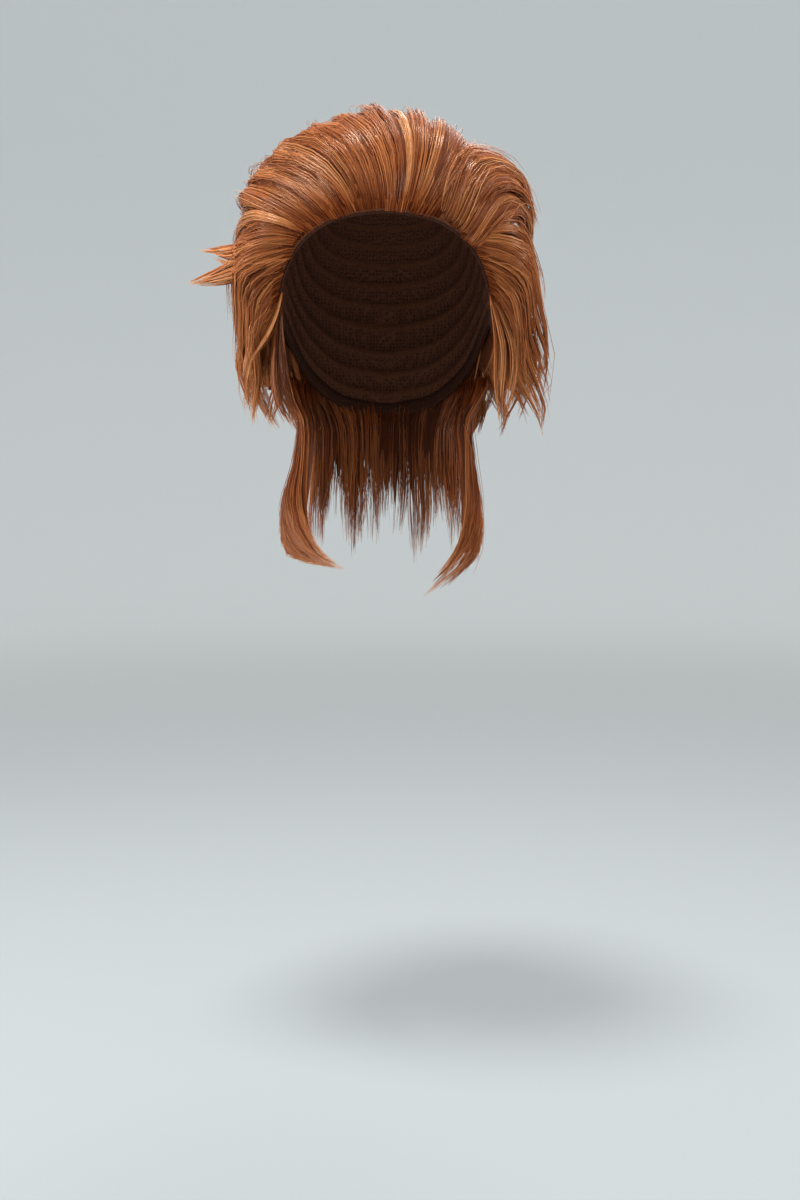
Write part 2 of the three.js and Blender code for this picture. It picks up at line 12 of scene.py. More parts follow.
import bmesh
import bpy
import numpy as np
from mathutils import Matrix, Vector


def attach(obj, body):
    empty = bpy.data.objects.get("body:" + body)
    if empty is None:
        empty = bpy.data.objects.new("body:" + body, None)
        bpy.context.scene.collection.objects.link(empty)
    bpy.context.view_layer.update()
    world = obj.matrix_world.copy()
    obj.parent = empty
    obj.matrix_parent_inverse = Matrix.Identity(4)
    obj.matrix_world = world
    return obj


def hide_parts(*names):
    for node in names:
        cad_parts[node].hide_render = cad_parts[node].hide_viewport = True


mm = 1000
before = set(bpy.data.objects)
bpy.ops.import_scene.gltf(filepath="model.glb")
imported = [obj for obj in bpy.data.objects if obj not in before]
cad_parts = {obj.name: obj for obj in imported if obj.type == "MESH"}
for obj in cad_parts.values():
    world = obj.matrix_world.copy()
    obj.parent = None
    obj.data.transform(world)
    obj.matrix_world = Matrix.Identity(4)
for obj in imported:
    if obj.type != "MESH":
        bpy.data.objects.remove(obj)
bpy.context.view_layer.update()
print("CAD nodes:", ", ".join(sorted(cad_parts)))

# %% [markdown]
# ## The head that the hair follows
#
# Hair has no shape of its own: it follows the head and stands off it. So every point of the wig is
# given as a direction from the head's centre and a lift off the scalp. A sculpted mesh would do too,
# but with directions and lifts a fibre stays on the form wherever it runs.

# %% Directions and lifts
head_width = 0.152
brow_reach = 0.088
occiput_reach = 0.098
crown_height = 0.095
jaw_depth = 0.130
neck_width = 0.100
neck_depth = 0.112
neck_setback = 0.016
head_centre = np.array([0.0, 0.0, -crown_height])


def direction(azimuth, elevation):
    """Azimuth runs from the brow round by the wearer's left, elevation up from the widest level."""
    a, e = np.radians(azimuth), np.radians(elevation)
    return np.stack([np.sin(a) * np.cos(e), -np.cos(a) * np.cos(e), np.sin(e)], -1)


def off_scalp(toward, lift):
    """The point that stands off the scalp by lift in that direction."""
    reach = np.stack(
        [
            np.full(toward.shape[:-1], head_width / 2),
            np.where(toward[..., 1] < 0, brow_reach, occiput_reach),
            np.where(toward[..., 2] > 0, crown_height, jaw_depth),
        ],
        -1,
    )
    outward = toward / reach
    outward /= np.linalg.norm(outward, axis=-1, keepdims=True)
    return toward * reach + head_centre + outward * np.asarray(lift)[..., None]


def off_neck(around, height, lift):
    """The point that stands off the neck by lift, at an angle round it and a height."""
    a = np.radians(around)
    x = (neck_width / 2 + lift) * np.sin(a)
    y = neck_setback - (neck_depth / 2 + lift) * np.cos(a)
    return np.stack([x, y, height], -1)


def smooth(x):
    """An S-curve from 0 to 1."""
    x = np.clip(x, 0, 1)
    return x * x * (3 - 2 * x)


def mix(a, b, share):
    return a + (b - a) * share


def unit(vectors):
    return vectors / np.maximum(np.linalg.norm(vectors, axis=-1, keepdims=True), 1e-9)


print("head:", head_width * mm, "mm wide,", (brow_reach + occiput_reach) * mm, "mm deep")

# %% Rim of the cap and outline of the hair
rim_azimuth = [0, 30, 45, 56, 68, 75, 82, 90, 98, 108, 128, 150, 180]
rim_elevation = [36.5, 34, 29.5, 24, 14, 2, -8, -7, -1, -5, -21, -30, -33]
full_elevation = [-45, -30, -15, 0, 20, 37, 50, 70, 90]
full_share = [0.46, 0.62, 0.66, 0.55, 0.65, 0.87, 0.97, 0.88, 0.84]


def rim_at(azimuth):
    """Elevation of the cap's rim, the same on both sides."""
    turned = np.abs((np.asarray(azimuth, float) + 180) % 360 - 180)
    return np.interp(turned, rim_azimuth, rim_elevation)


def table_of(names, rows):
    """Rows of numbers as named columns."""
    return dict(zip(names.split(), np.array(rows, float).T))


def guide_at(table, share):
    """Every column of a table at a share of its length."""
    rows = np.arange(len(next(iter(table.values()))))
    place = np.clip(share, 0, 1) * rows[-1]
    return {name: np.interp(place, rows, column) for name, column in table.items()}


def soft_at(table, share):
    """Every column of a table at a share of its length, on a smooth curve through its rows."""
    count = len(next(iter(table.values())))
    place = np.clip(share, 0, 1) * (count - 1)
    i = np.clip(place.astype(int), 0, count - 2)
    t = place - i
    found = {}
    for name, c in table.items():
        p0, p1, p2, p3 = (np.array([2 * c[0] - c[1], *c, 2 * c[-1] - c[-2]])[i + k] for k in range(4))
        bend = 2 * p0 - 5 * p1 + 4 * p2 - p3 + t * (3 * (p1 - p2) + p3 - p0)
        found[name] = p1 + 0.5 * t * (p2 - p0 + t * bend)
    return found


print("rim from", min(rim_elevation), "to", max(rim_elevation), "degrees")

# %% [markdown]
# ## Three kinds of hair mass
#
# Most of the hair leaves the scalp in a wide strip, arches over a crest and falls back. The long
# hair is a strip that hangs round the neck. The lock that rolls over and the two flicks are free
# locks on a line of their own. Each kind answers two questions: how far its inner and outer faces
# stand off, and where a point at a share across, a share along and a lift is.

# %% Strips over the scalp
cap_wall = 0.0015
band_wall = 0.0012
gap = 0.0003
hair_depth = 0.054
weft_wall = 0.009
in_weft = 0.15
root_sink = band_wall + gap + cap_wall + in_weft * weft_wall
groove_depth = 0.009
scalp_groove = 0.7 * groove_depth
root_groove = 0.3
edge_height = 0.35
tip_wall = 0.002
lock_width = 0.027
lock_thick = 0.014


class Mass:
    """Hair in locks. Between two of them it is notched, so it ends sooner there."""

    locks, notch, hangs = 1, 0.0, True

    def ridge(self, across):
        return np.abs(np.sin(np.pi * self.locks * across))

    def reach(self, across):
        """Share of the length that the hair has there."""
        return 1 - self.notch * (1 - self.ridge(across))


class ScalpStrip(Mass):
    """Hair that leaves the scalp, runs over the head to its tips and falls back from its crest."""

    def __init__(self, rows, locks, notch, soft_edge, hangs=False):
        names = "azimuth elevation tip_azimuth tip_elevation lift crest fall"
        self.table, self.locks, self.notch = table_of(names, rows), locks, notch
        self.soft_edge, self.hangs = soft_edge, hangs

    def toward(self, across, along):
        guide = guide_at(self.table, across)
        root = direction(guide["azimuth"], guide["elevation"])
        tip = direction(guide["tip_azimuth"], guide["tip_elevation"])
        angle = np.arccos(np.clip((root * tip).sum(-1), -1, 1))
        a, b = (np.sin(share * angle) / np.sin(angle) for share in (1 - along, along))
        return a[..., None] * root + b[..., None] * tip

    def lifts(self, across, along):
        guide = guide_at(self.table, across)
        toward = self.toward(across, along)
        rise = np.sin(np.pi / 2 * np.clip(along / guide["crest"], 0, 1))
        fall = mix(1, guide["fall"], smooth((along - guide["crest"]) / (1 - guide["crest"])))
        soft = mix(edge_height, 1, smooth(np.minimum(across, 1 - across) / self.soft_edge))
        groove = scalp_groove * (1 - self.ridge(across)) * mix(root_groove, 1, along)
        elevation = np.degrees(np.arcsin(np.clip(toward[..., 2], -1, 1)))
        full = hair_depth * guide["lift"] * soft * np.interp(elevation, full_elevation, full_share)
        outer = root_sink + tip_wall + (full - groove - root_sink - tip_wall) * rise * fall
        hanging = smooth(2 * along - 1) if self.hangs else 0.0
        inner = mix(root_sink, outer - tip_wall, hanging)
        return inner, outer

    def point(self, across, along, lift):
        return off_scalp(self.toward(across, along), lift)


print("a strip stands up to", hair_depth * mm, "mm off the scalp")

# %% Strips round the neck
nape = -crown_height - 0.043
tail_drop = 0.145
neck_groove = 0.3
neck_edge = 0.25
on_neck_from = 0.3


class NeckStrip(Mass):
    """Hair that leaves the scalp at the nape and hangs round the neck."""

    def __init__(self, rows, locks, notch):
        self.table = table_of("front back down off thick", rows)
        self.locks, self.notch = locks, notch

    def lifts(self, across, along):
        row = soft_at(self.table, along)
        edge = np.sqrt(np.clip(1 - (2 * across - 1) ** 4, 0, 1))
        half = np.maximum(tip_wall, row["thick"] * lock_thick * mix(neck_edge, 1, edge)) / 2
        groove = (1 - self.ridge(across)) * groove_depth * neck_groove * row["thick"]
        middle = row["off"] * lock_thick
        return middle - half, middle + half - groove

    def point(self, across, along, lift):
        row = soft_at(self.table, along)
        beyond = along - np.clip(along, 0, 1)
        around = mix(row["front"], row["back"], across)
        height = nape - tail_drop * (row["down"] + beyond)
        level = np.clip((height - head_centre[2]) / jaw_depth, -1, 1)
        on_head = off_scalp(direction(around, np.degrees(np.arcsin(level))), lift)
        on_neck = smooth(row["down"] / on_neck_from)[..., None]
        return mix(on_head, off_neck(around, height, lift), on_neck)


print("the long hair hangs", tail_drop * mm, "mm below the nape")


# %% Free locks
def curve_through(points, share):
    """A smooth curve through points, read at shares of its length. Knots are spaced centripetally."""
    points = np.asarray(points, float)
    ends = [2 * points[0] - points[1], *points, 2 * points[-1] - points[-2]]
    place = np.clip(share, 0, 1) * (len(points) - 1)
    i = np.clip(place.astype(int), 0, len(points) - 2)
    p0, p1, p2, p3 = (np.array(ends)[i + k] for k in range(4))
    d0, d1, d2 = (
        np.sqrt(np.linalg.norm(b - a, axis=-1, keepdims=True)) + 1e-6
        for a, b in ((p0, p1), (p1, p2), (p2, p3))
    )
    m1 = ((p1 - p0) / d0 - (p2 - p0) / (d0 + d1) + (p2 - p1) / d1) * d1
    m2 = ((p2 - p1) / d1 - (p3 - p1) / (d1 + d2) + (p3 - p2) / d2) * d1
    t = (place - i)[..., None]
    return (
        (2 * t**3 - 3 * t**2 + 1) * p1
        + (t**3 - 2 * t**2 + t) * m1
        + (3 * t**2 - 2 * t**3) * p2
        + (t**3 - t**2) * m2
    )


line_points = 25
line_smoothing = 6
line_step = 0.02
beyond_tip = 0.09
root_thick, thick_from, thick_over = 0.15, -0.04, 0.16


class FreeLock(Mass):
    """A lock through stations of its own. Its line is smoothed, so that it has no kink at a station."""

    def __init__(self, rows, size=1.0):
        self.table, self.size = table_of("azimuth elevation lift width thick", rows), size
        toward = direction(self.table["azimuth"], self.table["elevation"])
        line = off_scalp(toward, hair_depth * self.table["lift"])
        line = curve_through(line, np.linspace(0, 1, line_points))
        for _ in range(line_smoothing):
            line[1:-1] = (line[:-2] + 2 * line[1:-1] + line[2:]) / 4
        self.stations = line

    def lifts(self, across, along):
        row = soft_at(self.table, along)
        round_edge = np.sqrt(np.clip(1 - (2 * across - 1) ** 2, 0, 1))
        half = self.size * lock_thick / 2 * row["thick"] * round_edge
        half = half * mix(root_thick, 1, smooth((along - thick_from) / thick_over))
        return -half, half

    def point(self, across, along, lift):
        row = soft_at(self.table, along)
        here = curve_through(self.stations, along)
        ahead = curve_through(self.stations, np.minimum(along + line_step, 1))
        behind = curve_through(self.stations, np.maximum(along - line_step, 0))
        tangent = unit(ahead - behind)
        heart = np.stack(
            [0 * along, 0 * along + neck_setback / 2, np.minimum(here[..., 2], head_centre[2])], -1
        )
        outward = here - heart
        outward = unit(outward - tangent * (outward * tangent).sum(-1, keepdims=True))
        side = np.cross(tangent, outward)
        half = self.size * lock_width / 2 * row["width"]
        aside = side * (half * (2 * across - 1))[..., None]
        beyond = (along - np.clip(along, 0, 1))[..., None] * beyond_tip
        return here + aside + outward * lift[..., None] + tangent * beyond


print("a free lock is about", lock_width * mm, "mm wide")

# %% [markdown]
# ## From wisps to fibres
#
# Real fibres are a few hundredths of a millimetre thick and there are tens of thousands, but the eye
# reads them as wisps a few millimetres wide that draw together towards their tips. So the script
# first lays the centre lines of wisps on a mass of hair: where each runs, how high it lies and how it
# sways. Geometry Nodes then copy each line into a bundle of fibres and sweep a three-sided profile
# along every one. The fibres are drawn about ten times too thick, or there would be too many to
# make. Blender's hair curves would be easier, but they don't export as a mesh.
#
# Each cell adds its own settings to habits, and a call of comb gives only those that differ.


# %% Where a wisp runs
habits = dict(points=10, width=(0.0, 1.0), start=(0.0, 0.02), short=0.14, bend=1.15)
habits |= dict(gather=0.2, spread=1.25, notch=0.35, lean=None)
clump_jitter = 0.3
lock_from = 0.45


def runs(rng, mass, which, how):
    """Shares across and along a mass at each point of its wisps, and what else shapes them there."""
    low, high = how.width
    clumps, count = which[-1] + 1, len(which)
    pitch = (high - low) / clumps
    places = np.arange(clumps) + 0.5 + rng.uniform(-clump_jitter, clump_jitter, clumps)
    centre = (low + pitch * places)[which]
    aside = rng.uniform(-1, 1, count)
    stray = 0.5 * aside * how.spread * pitch
    t = np.linspace(0, 1, how.points)[None] ** how.bend
    first = rng.uniform(*how.start, count)[:, None]
    reach = mass.reach(centre) * (1 - how.short * rng.uniform(0, 1, clumps)[which])
    reach = reach * (1 - 0.5 * how.short * rng.uniform(0, 1, count))
    along = first + (reach[:, None] - first) * t
    across = centre[:, None] + stray[:, None] * (1 - how.gather * smooth(along))
    middle = (np.clip(np.floor(centre * mass.locks), 0, mass.locks - 1) + 0.5) / mass.locks
    to_lock = how.notch * smooth((along - lock_from) / (1 - lock_from))
    across = across + (middle - centre)[:, None] * to_lock
    if how.lean is not None:
        across = across + how.lean(centre[:, None], along)
    return pitch, aside, t, first, along, np.clip(across, 0.0, 1.0)


print("a wisp has", habits["points"], "points unless a call says otherwise")

# %% How high a wisp lies
habits |= dict(depth=0.006, rounding=0.0025, uneven=0.0009, above=-0.001, loose=0.0)
habits |= dict(inside=0.0, fill=False, tucked=False)
sinks_rarely = 1.3
scalp_clear, tucked_for = 0.0018, 0.02
root_dip, dips_for = 0.008, 0.1
loose_from, loose_over = 0.1, 0.5


def heights(rng, mass, which, aside, first, along, across, grown, how):
    """Wisps lie by the outer or the inner face of a mass, or fill it, and sink in at their roots."""
    clumps, count = which[-1] + 1, len(which)
    inner, outer = mass.lifts(across, along)
    sunk = how.depth * rng.uniform(0, 1, count) ** sinks_rarely + how.rounding * aside**2
    bump = rng.normal(0, how.uneven, clumps)[which] + rng.normal(0, 0.5 * how.uneven, count)
    off = (bump - sunk + how.above)[:, None] * grown
    free = smooth((along - loose_from) / loose_over)
    off = off + how.loose * rng.uniform(0, 1, (count, 1)) ** 2 * free
    turned = (rng.uniform(0, 1, count) < how.inside)[:, None]
    lift = np.where(turned, np.minimum(inner - off, outer), np.maximum(outer + off, inner))
    if how.fill:
        lift = mix(inner, outer, rng.uniform(0, 1, (count, 1)))
    if how.tucked:
        return mix(scalp_clear, lift, smooth((along - first) / tucked_for))
    return mix(np.maximum(inner, lift - root_dip), lift, smooth((along - first) / dips_for))


print("most wisps lie within", habits["depth"] * mm, "mm of a mass's face")

# %% How a wisp sways
habits |= dict(sway=0.0011, waves=1.1)
half_wave, own_wave = 0.4, 0.6
fewest, most = 0.7, 1.3


def swing_of(rng, which, along, waves):
    """How far each wisp swings aside: on the wave of its clump, and a little on its own."""
    phase = rng.uniform(0, 2 * np.pi, (3, which[-1] + 1))[:, which, None]
    turns = waves * rng.uniform(fewest, most, which[-1] + 1)[which, None]
    wave = np.sin(2 * np.pi * turns * along + phase[0]) - np.sin(phase[0])
    swing = wave + half_wave * np.sin(4 * np.pi * turns * along + phase[1]) - half_wave * np.sin(phase[1])
    own = rng.uniform(-1, 1, (len(which), 1)) * np.sin(3 * np.pi * along + phase[2])
    return swing + own_wave * own


print("a wave in a wisp is about", habits["sway"] * mm, "mm high")

# %% Comb a mass of hair into wisps
habits |= dict(wide=1.0, thick=1.0, fibres=8, tone=0.0, variety=0.3, golden=0.0)
grown_by = 0.12
frame_step, across_step = 0.001, 0.004
overlap = 0.85
least_girth, most_girth = 0.0008, 0.0045
drawn_in, drawn_in_late = 0.75, 2.2
own_variety = 0.22
golden_from = 0.75


def comb(mass, clumps, per_clump, seed, **own_habits):
    """Centre lines of wisps, clump by clump, with their frames. Each clump has its own sway and tone."""
    rng, how = np.random.default_rng(seed), SimpleNamespace(**(habits | own_habits))
    which = np.repeat(np.arange(clumps), per_clump)
    pitch, aside, t, first, along, across = runs(rng, mass, which, how)
    grown = smooth((along - first) / grown_by)
    lift = heights(rng, mass, which, aside, first, along, across, grown, how)
    line = mass.point(across, along, lift)
    up = unit(mass.point(across, along, lift + frame_step) - line)
    side = unit(np.cross(unit(np.gradient(line, axis=1)), up))
    beside = np.clip(across + across_step, 0, 1 + across_step)
    step = mass.point(beside, along, lift) - line
    breadth = np.linalg.norm(step, axis=-1) / across_step * pitch * how.spread
    girth = np.clip(overlap * breadth / math.sqrt(per_clump), least_girth, most_girth) * how.wide
    swing = swing_of(rng, which, along, how.waves)
    own_tone = rng.normal(0, how.variety, clumps)[which]
    own_tone = how.tone + own_tone + rng.normal(0, own_variety, len(which))
    return {
        "line": line + side * (how.sway * grown * swing)[..., None],
        "side": side,
        "up": up,
        "girth": girth * (1 - drawn_in * t**drawn_in_late),
        "along": along,
        "tone": own_tone[:, None] + how.golden * smooth((along - golden_from) / (1 - golden_from)),
        "thick": np.full(along.shape, how.thick),
        "fibres": np.full(along.shape, how.fibres),
    }


print("a wisp's girth before it is widened:", least_girth * mm, "to", most_girth * mm, "mm")

# %% Stray fibres
astray = dict(fibres=2, start=(0.0, 0.3), short=0.3, gather=0.0, spread=2.0, notch=0.0, thick=0.8)
astray |= dict(depth=0.001, rounding=0.0, above=0.0005, sway=0.003, waves=0.8)


def strays(mass, count, seed, loose=0.007, lean=None):
    """Pairs of thin fibres that escape the comb and stand off the mass in loose curves."""
    return comb(mass, count, 1, seed=seed, lean=lean, loose=loose, **astray)


print("stray fibres are", astray["thick"], "of the usual thickness")


# %% Write wisps as a mesh of lines that carries their frames
def lines_mesh(name, combed):
    """Every wisp as a chain of edges, with its frame and sizes as attributes of its points."""
    mesh = bpy.data.meshes.new(name)
    coords = np.concatenate([c["line"].reshape(-1, 3) for c in combed])
    edges, first = [], 0
    for c in combed:
        count, points = c["along"].shape
        index = first + np.arange(count * points).reshape(count, points)
        edges.append(np.stack([index[:, :-1], index[:, 1:]], -1).reshape(-1, 2))
        first += count * points
    edges = np.concatenate(edges)
    mesh.vertices.add(len(coords))
    mesh.vertices.foreach_set("co", coords.ravel())
    mesh.edges.add(len(edges))
    mesh.edges.foreach_set("vertices", edges.ravel())
    for key in ("side", "up"):
        values = np.concatenate([c[key].reshape(-1, 3) for c in combed])
        mesh.attributes.new(key, "FLOAT_VECTOR", "POINT").data.foreach_set("vector", values.ravel())
    for key in ("girth", "along", "tone", "thick"):
        values = np.concatenate([c[key].ravel() for c in combed])
        mesh.attributes.new(key, "FLOAT", "POINT").data.foreach_set("value", values)
    values = np.concatenate([c["fibres"].ravel() for c in combed]).astype(np.int32)
    mesh.attributes.new("fibres", "INT", "POINT").data.foreach_set("value", values)
    return mesh


print("lines_mesh is ready")


# %% One helper for all node trees
def add_node(tree, kind, inputs=(), out=0, **settings):
    """Adds a node and gives back one output. An input is a value, or an output to link."""
    node = tree.nodes.new(kind)
    for name, value in settings.items():
        setattr(node, name, value)
    for key, value in inputs.items() if isinstance(inputs, dict) else enumerate(inputs):
        socket = node.inputs[key]
        if isinstance(value, bpy.types.NodeSocket):
            tree.links.new(value, socket)
        else:
            socket.default_value = value
    return node.outputs[out] if node.outputs else None


print("add_node is ready")

# %% [markdown]
# ### The tree that grows fibres
#
# The tree turns each line into a curve and copies it as often as its wisp has fibres. Every copy
# gets its own place in the bundle from a seeded random vector, spreads by the wisp's girth and ends
# a little sooner or later than its neighbours. A triangle is the cheapest closed profile, and with
# smooth shading it still catches the light like a round fibre.

# %% The tree and its inputs
fibre_tree = bpy.data.node_groups.new("fibres from wisps", "GeometryNodeTree")
for name, kind, default in (
    ("Wisps", "NodeSocketGeometry", None),
    ("Fibre width", "NodeSocketFloat", 0.00055),
    ("Flatness", "NodeSocketFloat", 0.35),
    ("Ragged ends", "NodeSocketFloat", 0.005),
    ("Frizz", "NodeSocketFloat", 0.0003),
    ("Seed", "NodeSocketInt", 1),
    ("Finish", "NodeSocketMaterial", None),
):
    socket = fibre_tree.interface.new_socket(name, in_out="INPUT", socket_type=kind)
    if default is not None:
        socket.default_value = default
fibre_tree.interface.new_socket("Fibres", in_out="OUTPUT", socket_type="NodeSocketGeometry")
print("inputs:", ", ".join(item.name for item in fibre_tree.interface.items_tree if item.in_out == "INPUT"))

# %% [markdown]
# Each row of sums below becomes one Math node. A row names its result, the operation and what goes
# in, by name or as a number. x, y and z are three random numbers of the fibre's own, from -1 to 1:
# x and y place it in its wisp, and z sets its tone, its wave and how early it ends.

# %% Sums that place and size a fibre
frizz_turn, own_turn = 9.0, 40.0
towards_end, thinner_by = 3.0, 0.82
tone_spread, width_spread = 0.7, 0.2
fibre_sums = (
    ("sideways", "MULTIPLY", "x", "girth"),
    ("turn", "MULTIPLY", "factor", frizz_turn),
    ("own turn", "MULTIPLY", "z", own_turn),
    ("turn", "ADD", "turn", "own turn"),
    ("wave", "SINE", "turn"),
    ("frizz", "MULTIPLY", "Frizz", "factor"),
    ("frizz", "MULTIPLY", "wave", "frizz"),
    ("sideways", "ADD", "sideways", "frizz"),
    ("upwards", "MULTIPLY", "y", "girth"),
    ("upwards", "MULTIPLY", "upwards", "Flatness"),
    ("near end", "POWER", "factor", towards_end),
    ("late", "MULTIPLY", "near end", "Ragged ends"),
    ("onwards", "MULTIPLY", "late", "z"),
    ("tone", "MULTIPLY_ADD", "z", tone_spread, "tone"),
    ("taper", "MULTIPLY", "near end", thinner_by),
    ("taper", "SUBTRACT", 1.0, "taper"),
    ("own width", "MULTIPLY_ADD", "x", width_spread, 1.0),
    ("radius", "MULTIPLY", "Fibre width", 0.5),
    ("radius", "MULTIPLY", "radius", "taper"),
    ("radius", "MULTIPLY", "radius", "own width"),
    ("radius", "MULTIPLY", "radius", "thick"),
)
print("a fibre takes", len(fibre_sums), "sums")


# %% Grow fibres from wisps
def build_fibre_tree(tree):
    add = partial(add_node, tree)
    given = add("NodeGroupInput").node.outputs
    known = {name: given[name] for name in ("Fibre width", "Flatness", "Ragged ends", "Frizz")}
    kinds = {"fibres": "INT", "side": "FLOAT_VECTOR", "up": "FLOAT_VECTOR"}
    for name in ("fibres", "girth", "tone", "thick", "side", "up"):
        kind = kinds.get(name, "FLOAT")
        known[name] = add("GeometryNodeInputNamedAttribute", {"Name": name}, data_type=kind)
    curves = add("GeometryNodeMeshToCurve", {"Mesh": given["Wisps"]})
    amount = {"Geometry": curves, "Amount": known["fibres"]}
    copies = add("GeometryNodeDuplicateElements", amount, domain="SPLINE")
    limits = {0: (-1, -1, -1), 1: (1, 1, 1), "Seed": given["Seed"]}
    own = add("FunctionNodeRandomValue", limits, data_type="FLOAT_VECTOR")
    own = add("GeometryNodeFieldOnDomain", [own], domain="CURVE", data_type="FLOAT_VECTOR")
    known |= zip("xyz", add("ShaderNodeSeparateXYZ", [own]).node.outputs)
    known["factor"] = add("GeometryNodeSplineParameter", out="Factor")
    for name, operation, *values in fibre_sums:
        values = [known.get(value, value) for value in values]
        known[name] = add("ShaderNodeMath", values, operation=operation)
    known["tangent"] = add("GeometryNodeInputTangent")
    moved = (0, 0, 0)
    for way, amount in (("side", "sideways"), ("up", "upwards"), ("tangent", "onwards")):
        step = add("ShaderNodeVectorMath", {0: known[way], "Scale": known[amount]}, operation="SCALE")
        moved = add("ShaderNodeVectorMath", [moved, step], operation="ADD")
    spread = add("GeometryNodeSetPosition", {"Geometry": copies, "Offset": moved})
    toned = {"Geometry": spread, "Name": "tone", "Value": known["tone"]}
    spread = add("GeometryNodeStoreNamedAttribute", toned, data_type="FLOAT", domain="POINT")
    profile = add("GeometryNodeCurvePrimitiveCircle", {"Resolution": 3, "Radius": 1.0})
    swept = {"Curve": spread, "Profile Curve": profile, "Scale": known["radius"], "Fill Caps": True}
    made = add("GeometryNodeCurveToMesh", swept)
    for name in ("side", "up", "girth", "thick", "fibres"):
        made = add("GeometryNodeRemoveAttribute", {"Geometry": made, "Name": name})
    made = add("GeometryNodeSetShadeSmooth", {"Geometry": made, "Shade Smooth": True})
    made = add("GeometryNodeRealizeInstances", {"Geometry": made})
    made = add("GeometryNodeSetMaterial", {"Geometry": made, "Material": given["Finish"]})
    add("NodeGroupOutput", [made])


build_fibre_tree(fibre_tree)
print("fibre tree:", len(fibre_tree.nodes), "nodes")

# %% [markdown]
# ## Finishes
#
# Each finish starts from what the real one is. Colours are given as hex values from the screen, and
# one function turns them into the linear values that Blender wants.


# %% Colours
def linear(hex_code):
    """A screen colour such as #B9713F as linear red, green, blue and alpha."""
    parts = [int(hex_code[i : i + 2], 16) / 255 for i in (1, 3, 5)]
    return (*[p / 12.92 if p <= 0.04045 else ((p + 0.055) / 1.055) ** 2.4 for p in parts], 1.0)


def new_finish(name):
    """An empty material, its shader and add_node for its tree."""
    finish = bpy.data.materials.new(name)
    finish.use_nodes = True
    finish.node_tree.nodes.clear()
    add = partial(add_node, finish.node_tree)
    surface = add("ShaderNodeBsdfPrincipled")
    add("ShaderNodeOutputMaterial", {"Surface": surface})
    return finish, surface.node, add


print("copper hair is about", linear("#B9713F")[:3])

# %% [markdown]
# ### Copper hair
#
# The hair is modacrylic, a synthetic that resists flame. It shines more than real hair, with a light
# band where the strands bend towards the light. Colour differs a little from fibre to fibre and from
# lock to lock, and tips go golden where they thin out. Towards the root the colour is darkened as
# painted shade of the hairline. The shell under the fibres has no strands of its own, so a streaky
# noise along it stands for them, in colour and as bump. Its colours are darker than the fibres': that
# is painted shade of the hair deep under them.


# %% Modacrylic fibre
fibre_ior = 1.55
tone_share, length_share = 0.3, 0.2
root_painted_shade, root_from, root_to = 0.3, -0.02, 0.1
fibre_base, shell_base_painted_shade = 0.42, -0.14
fibre_shine, shell_shine = 0.5, 0.25
matt_by = 0.32
streak_length = 3.0
fine_streaks, broad_streaks, broad_share = 0.9, 0.16, 0.3
streak_relief = 0.0018


def hair_finish(name, colours, roughness, streaks=0.0):
    """Hair coloured by its tone and its place along the strand, with streaks if it is a sheet."""
    finish, shader, add = new_finish(name)
    tone = add("ShaderNodeAttribute", attribute_name="tone", out="Fac")
    along = add("ShaderNodeAttribute", attribute_name="along", out="Fac")
    # Painted shade: a shell starts from a lower base than the fibres, so it is drawn darker.
    base, shine = (shell_base_painted_shade, shell_shine) if streaks else (fibre_base, fibre_shine)
    value = add("ShaderNodeMath", [tone, tone_share, base], operation="MULTIPLY_ADD")
    value = add("ShaderNodeMath", [along, length_share, value], operation="MULTIPLY_ADD")
    # Painted shade: the colour darkens towards the root, for the shade at the hairline.
    rise = [along, root_from, root_to, -root_painted_shade, 0.0]
    root_shade = add("ShaderNodeMapRange", rise, interpolation_type="SMOOTHSTEP")
    value = add("ShaderNodeMath", [value, root_shade], operation="ADD")
    if streaks:
        lane = add("ShaderNodeAttribute", attribute_name="lane", out="Fac")
        lane = add("ShaderNodeMath", [lane, mm], operation="MULTIPLY")
        length = add("ShaderNodeMath", [along, streak_length], operation="MULTIPLY")
        spot = add("ShaderNodeCombineXYZ", [lane, length])
        narrow = {"Vector": spot, "Scale": fine_streaks, "Detail": 3}
        fine = add("ShaderNodeTexNoise", narrow, out="Fac")
        wide = {"Vector": spot, "Scale": broad_streaks, "Detail": 1}
        broad = add("ShaderNodeTexNoise", wide, out="Fac")
        streak = add("ShaderNodeMath", [broad, broad_share, fine], operation="MULTIPLY_ADD")
        value = add("ShaderNodeMath", [streak, streaks, value], operation="MULTIPLY_ADD")
        relief = add("ShaderNodeBump", {"Height": streak, "Distance": streak_relief, "Strength": 1.0})
        finish.node_tree.links.new(relief, shader.inputs["Normal"])
    colour = add("ShaderNodeValToRGB", [value])
    stops = colour.node.color_ramp.elements
    while len(stops) < len(colours):
        stops.new(0.5)
    for stop, (place, hex_code) in zip(stops, colours):
        stop.position = place
        stop.color = linear(hex_code)
    finish.node_tree.links.new(colour, shader.inputs["Base Color"])
    shader.inputs["Roughness"].default_value = roughness
    shader.inputs["IOR"].default_value = fibre_ior
    shader.inputs["Specular Tint"].default_value = linear("#FFE0C4")
    shine_along = add("ShaderNodeMath", [root_shade, shine / matt_by, shine], operation="MULTIPLY_ADD")
    finish.node_tree.links.new(shine_along, shader.inputs["Specular IOR Level"])
    return finish


copper_fibre = hair_finish(
    "modacrylic fibre, copper",
    [(0.0, "#562410"), (0.3, "#914923"), (0.55, "#B76B38"), (0.8, "#D08A52"), (1.0, "#E6AF84")],
    0.26,
)
# Painted shade: the shell's colours are darker than the fibres', for hair deep in shade.
under_fibre_painted_shade = hair_finish(
    "modacrylic fibre, under layer, painted shade",
    [(0.0, "#30130A"), (0.35, "#6E3317"), (0.65, "#9E552A"), (1.0, "#C4804A")],
    0.5,
    streaks=0.8,
)
print("hair finishes:", copper_fibre.name, "and", under_fibre_painted_shade.name)
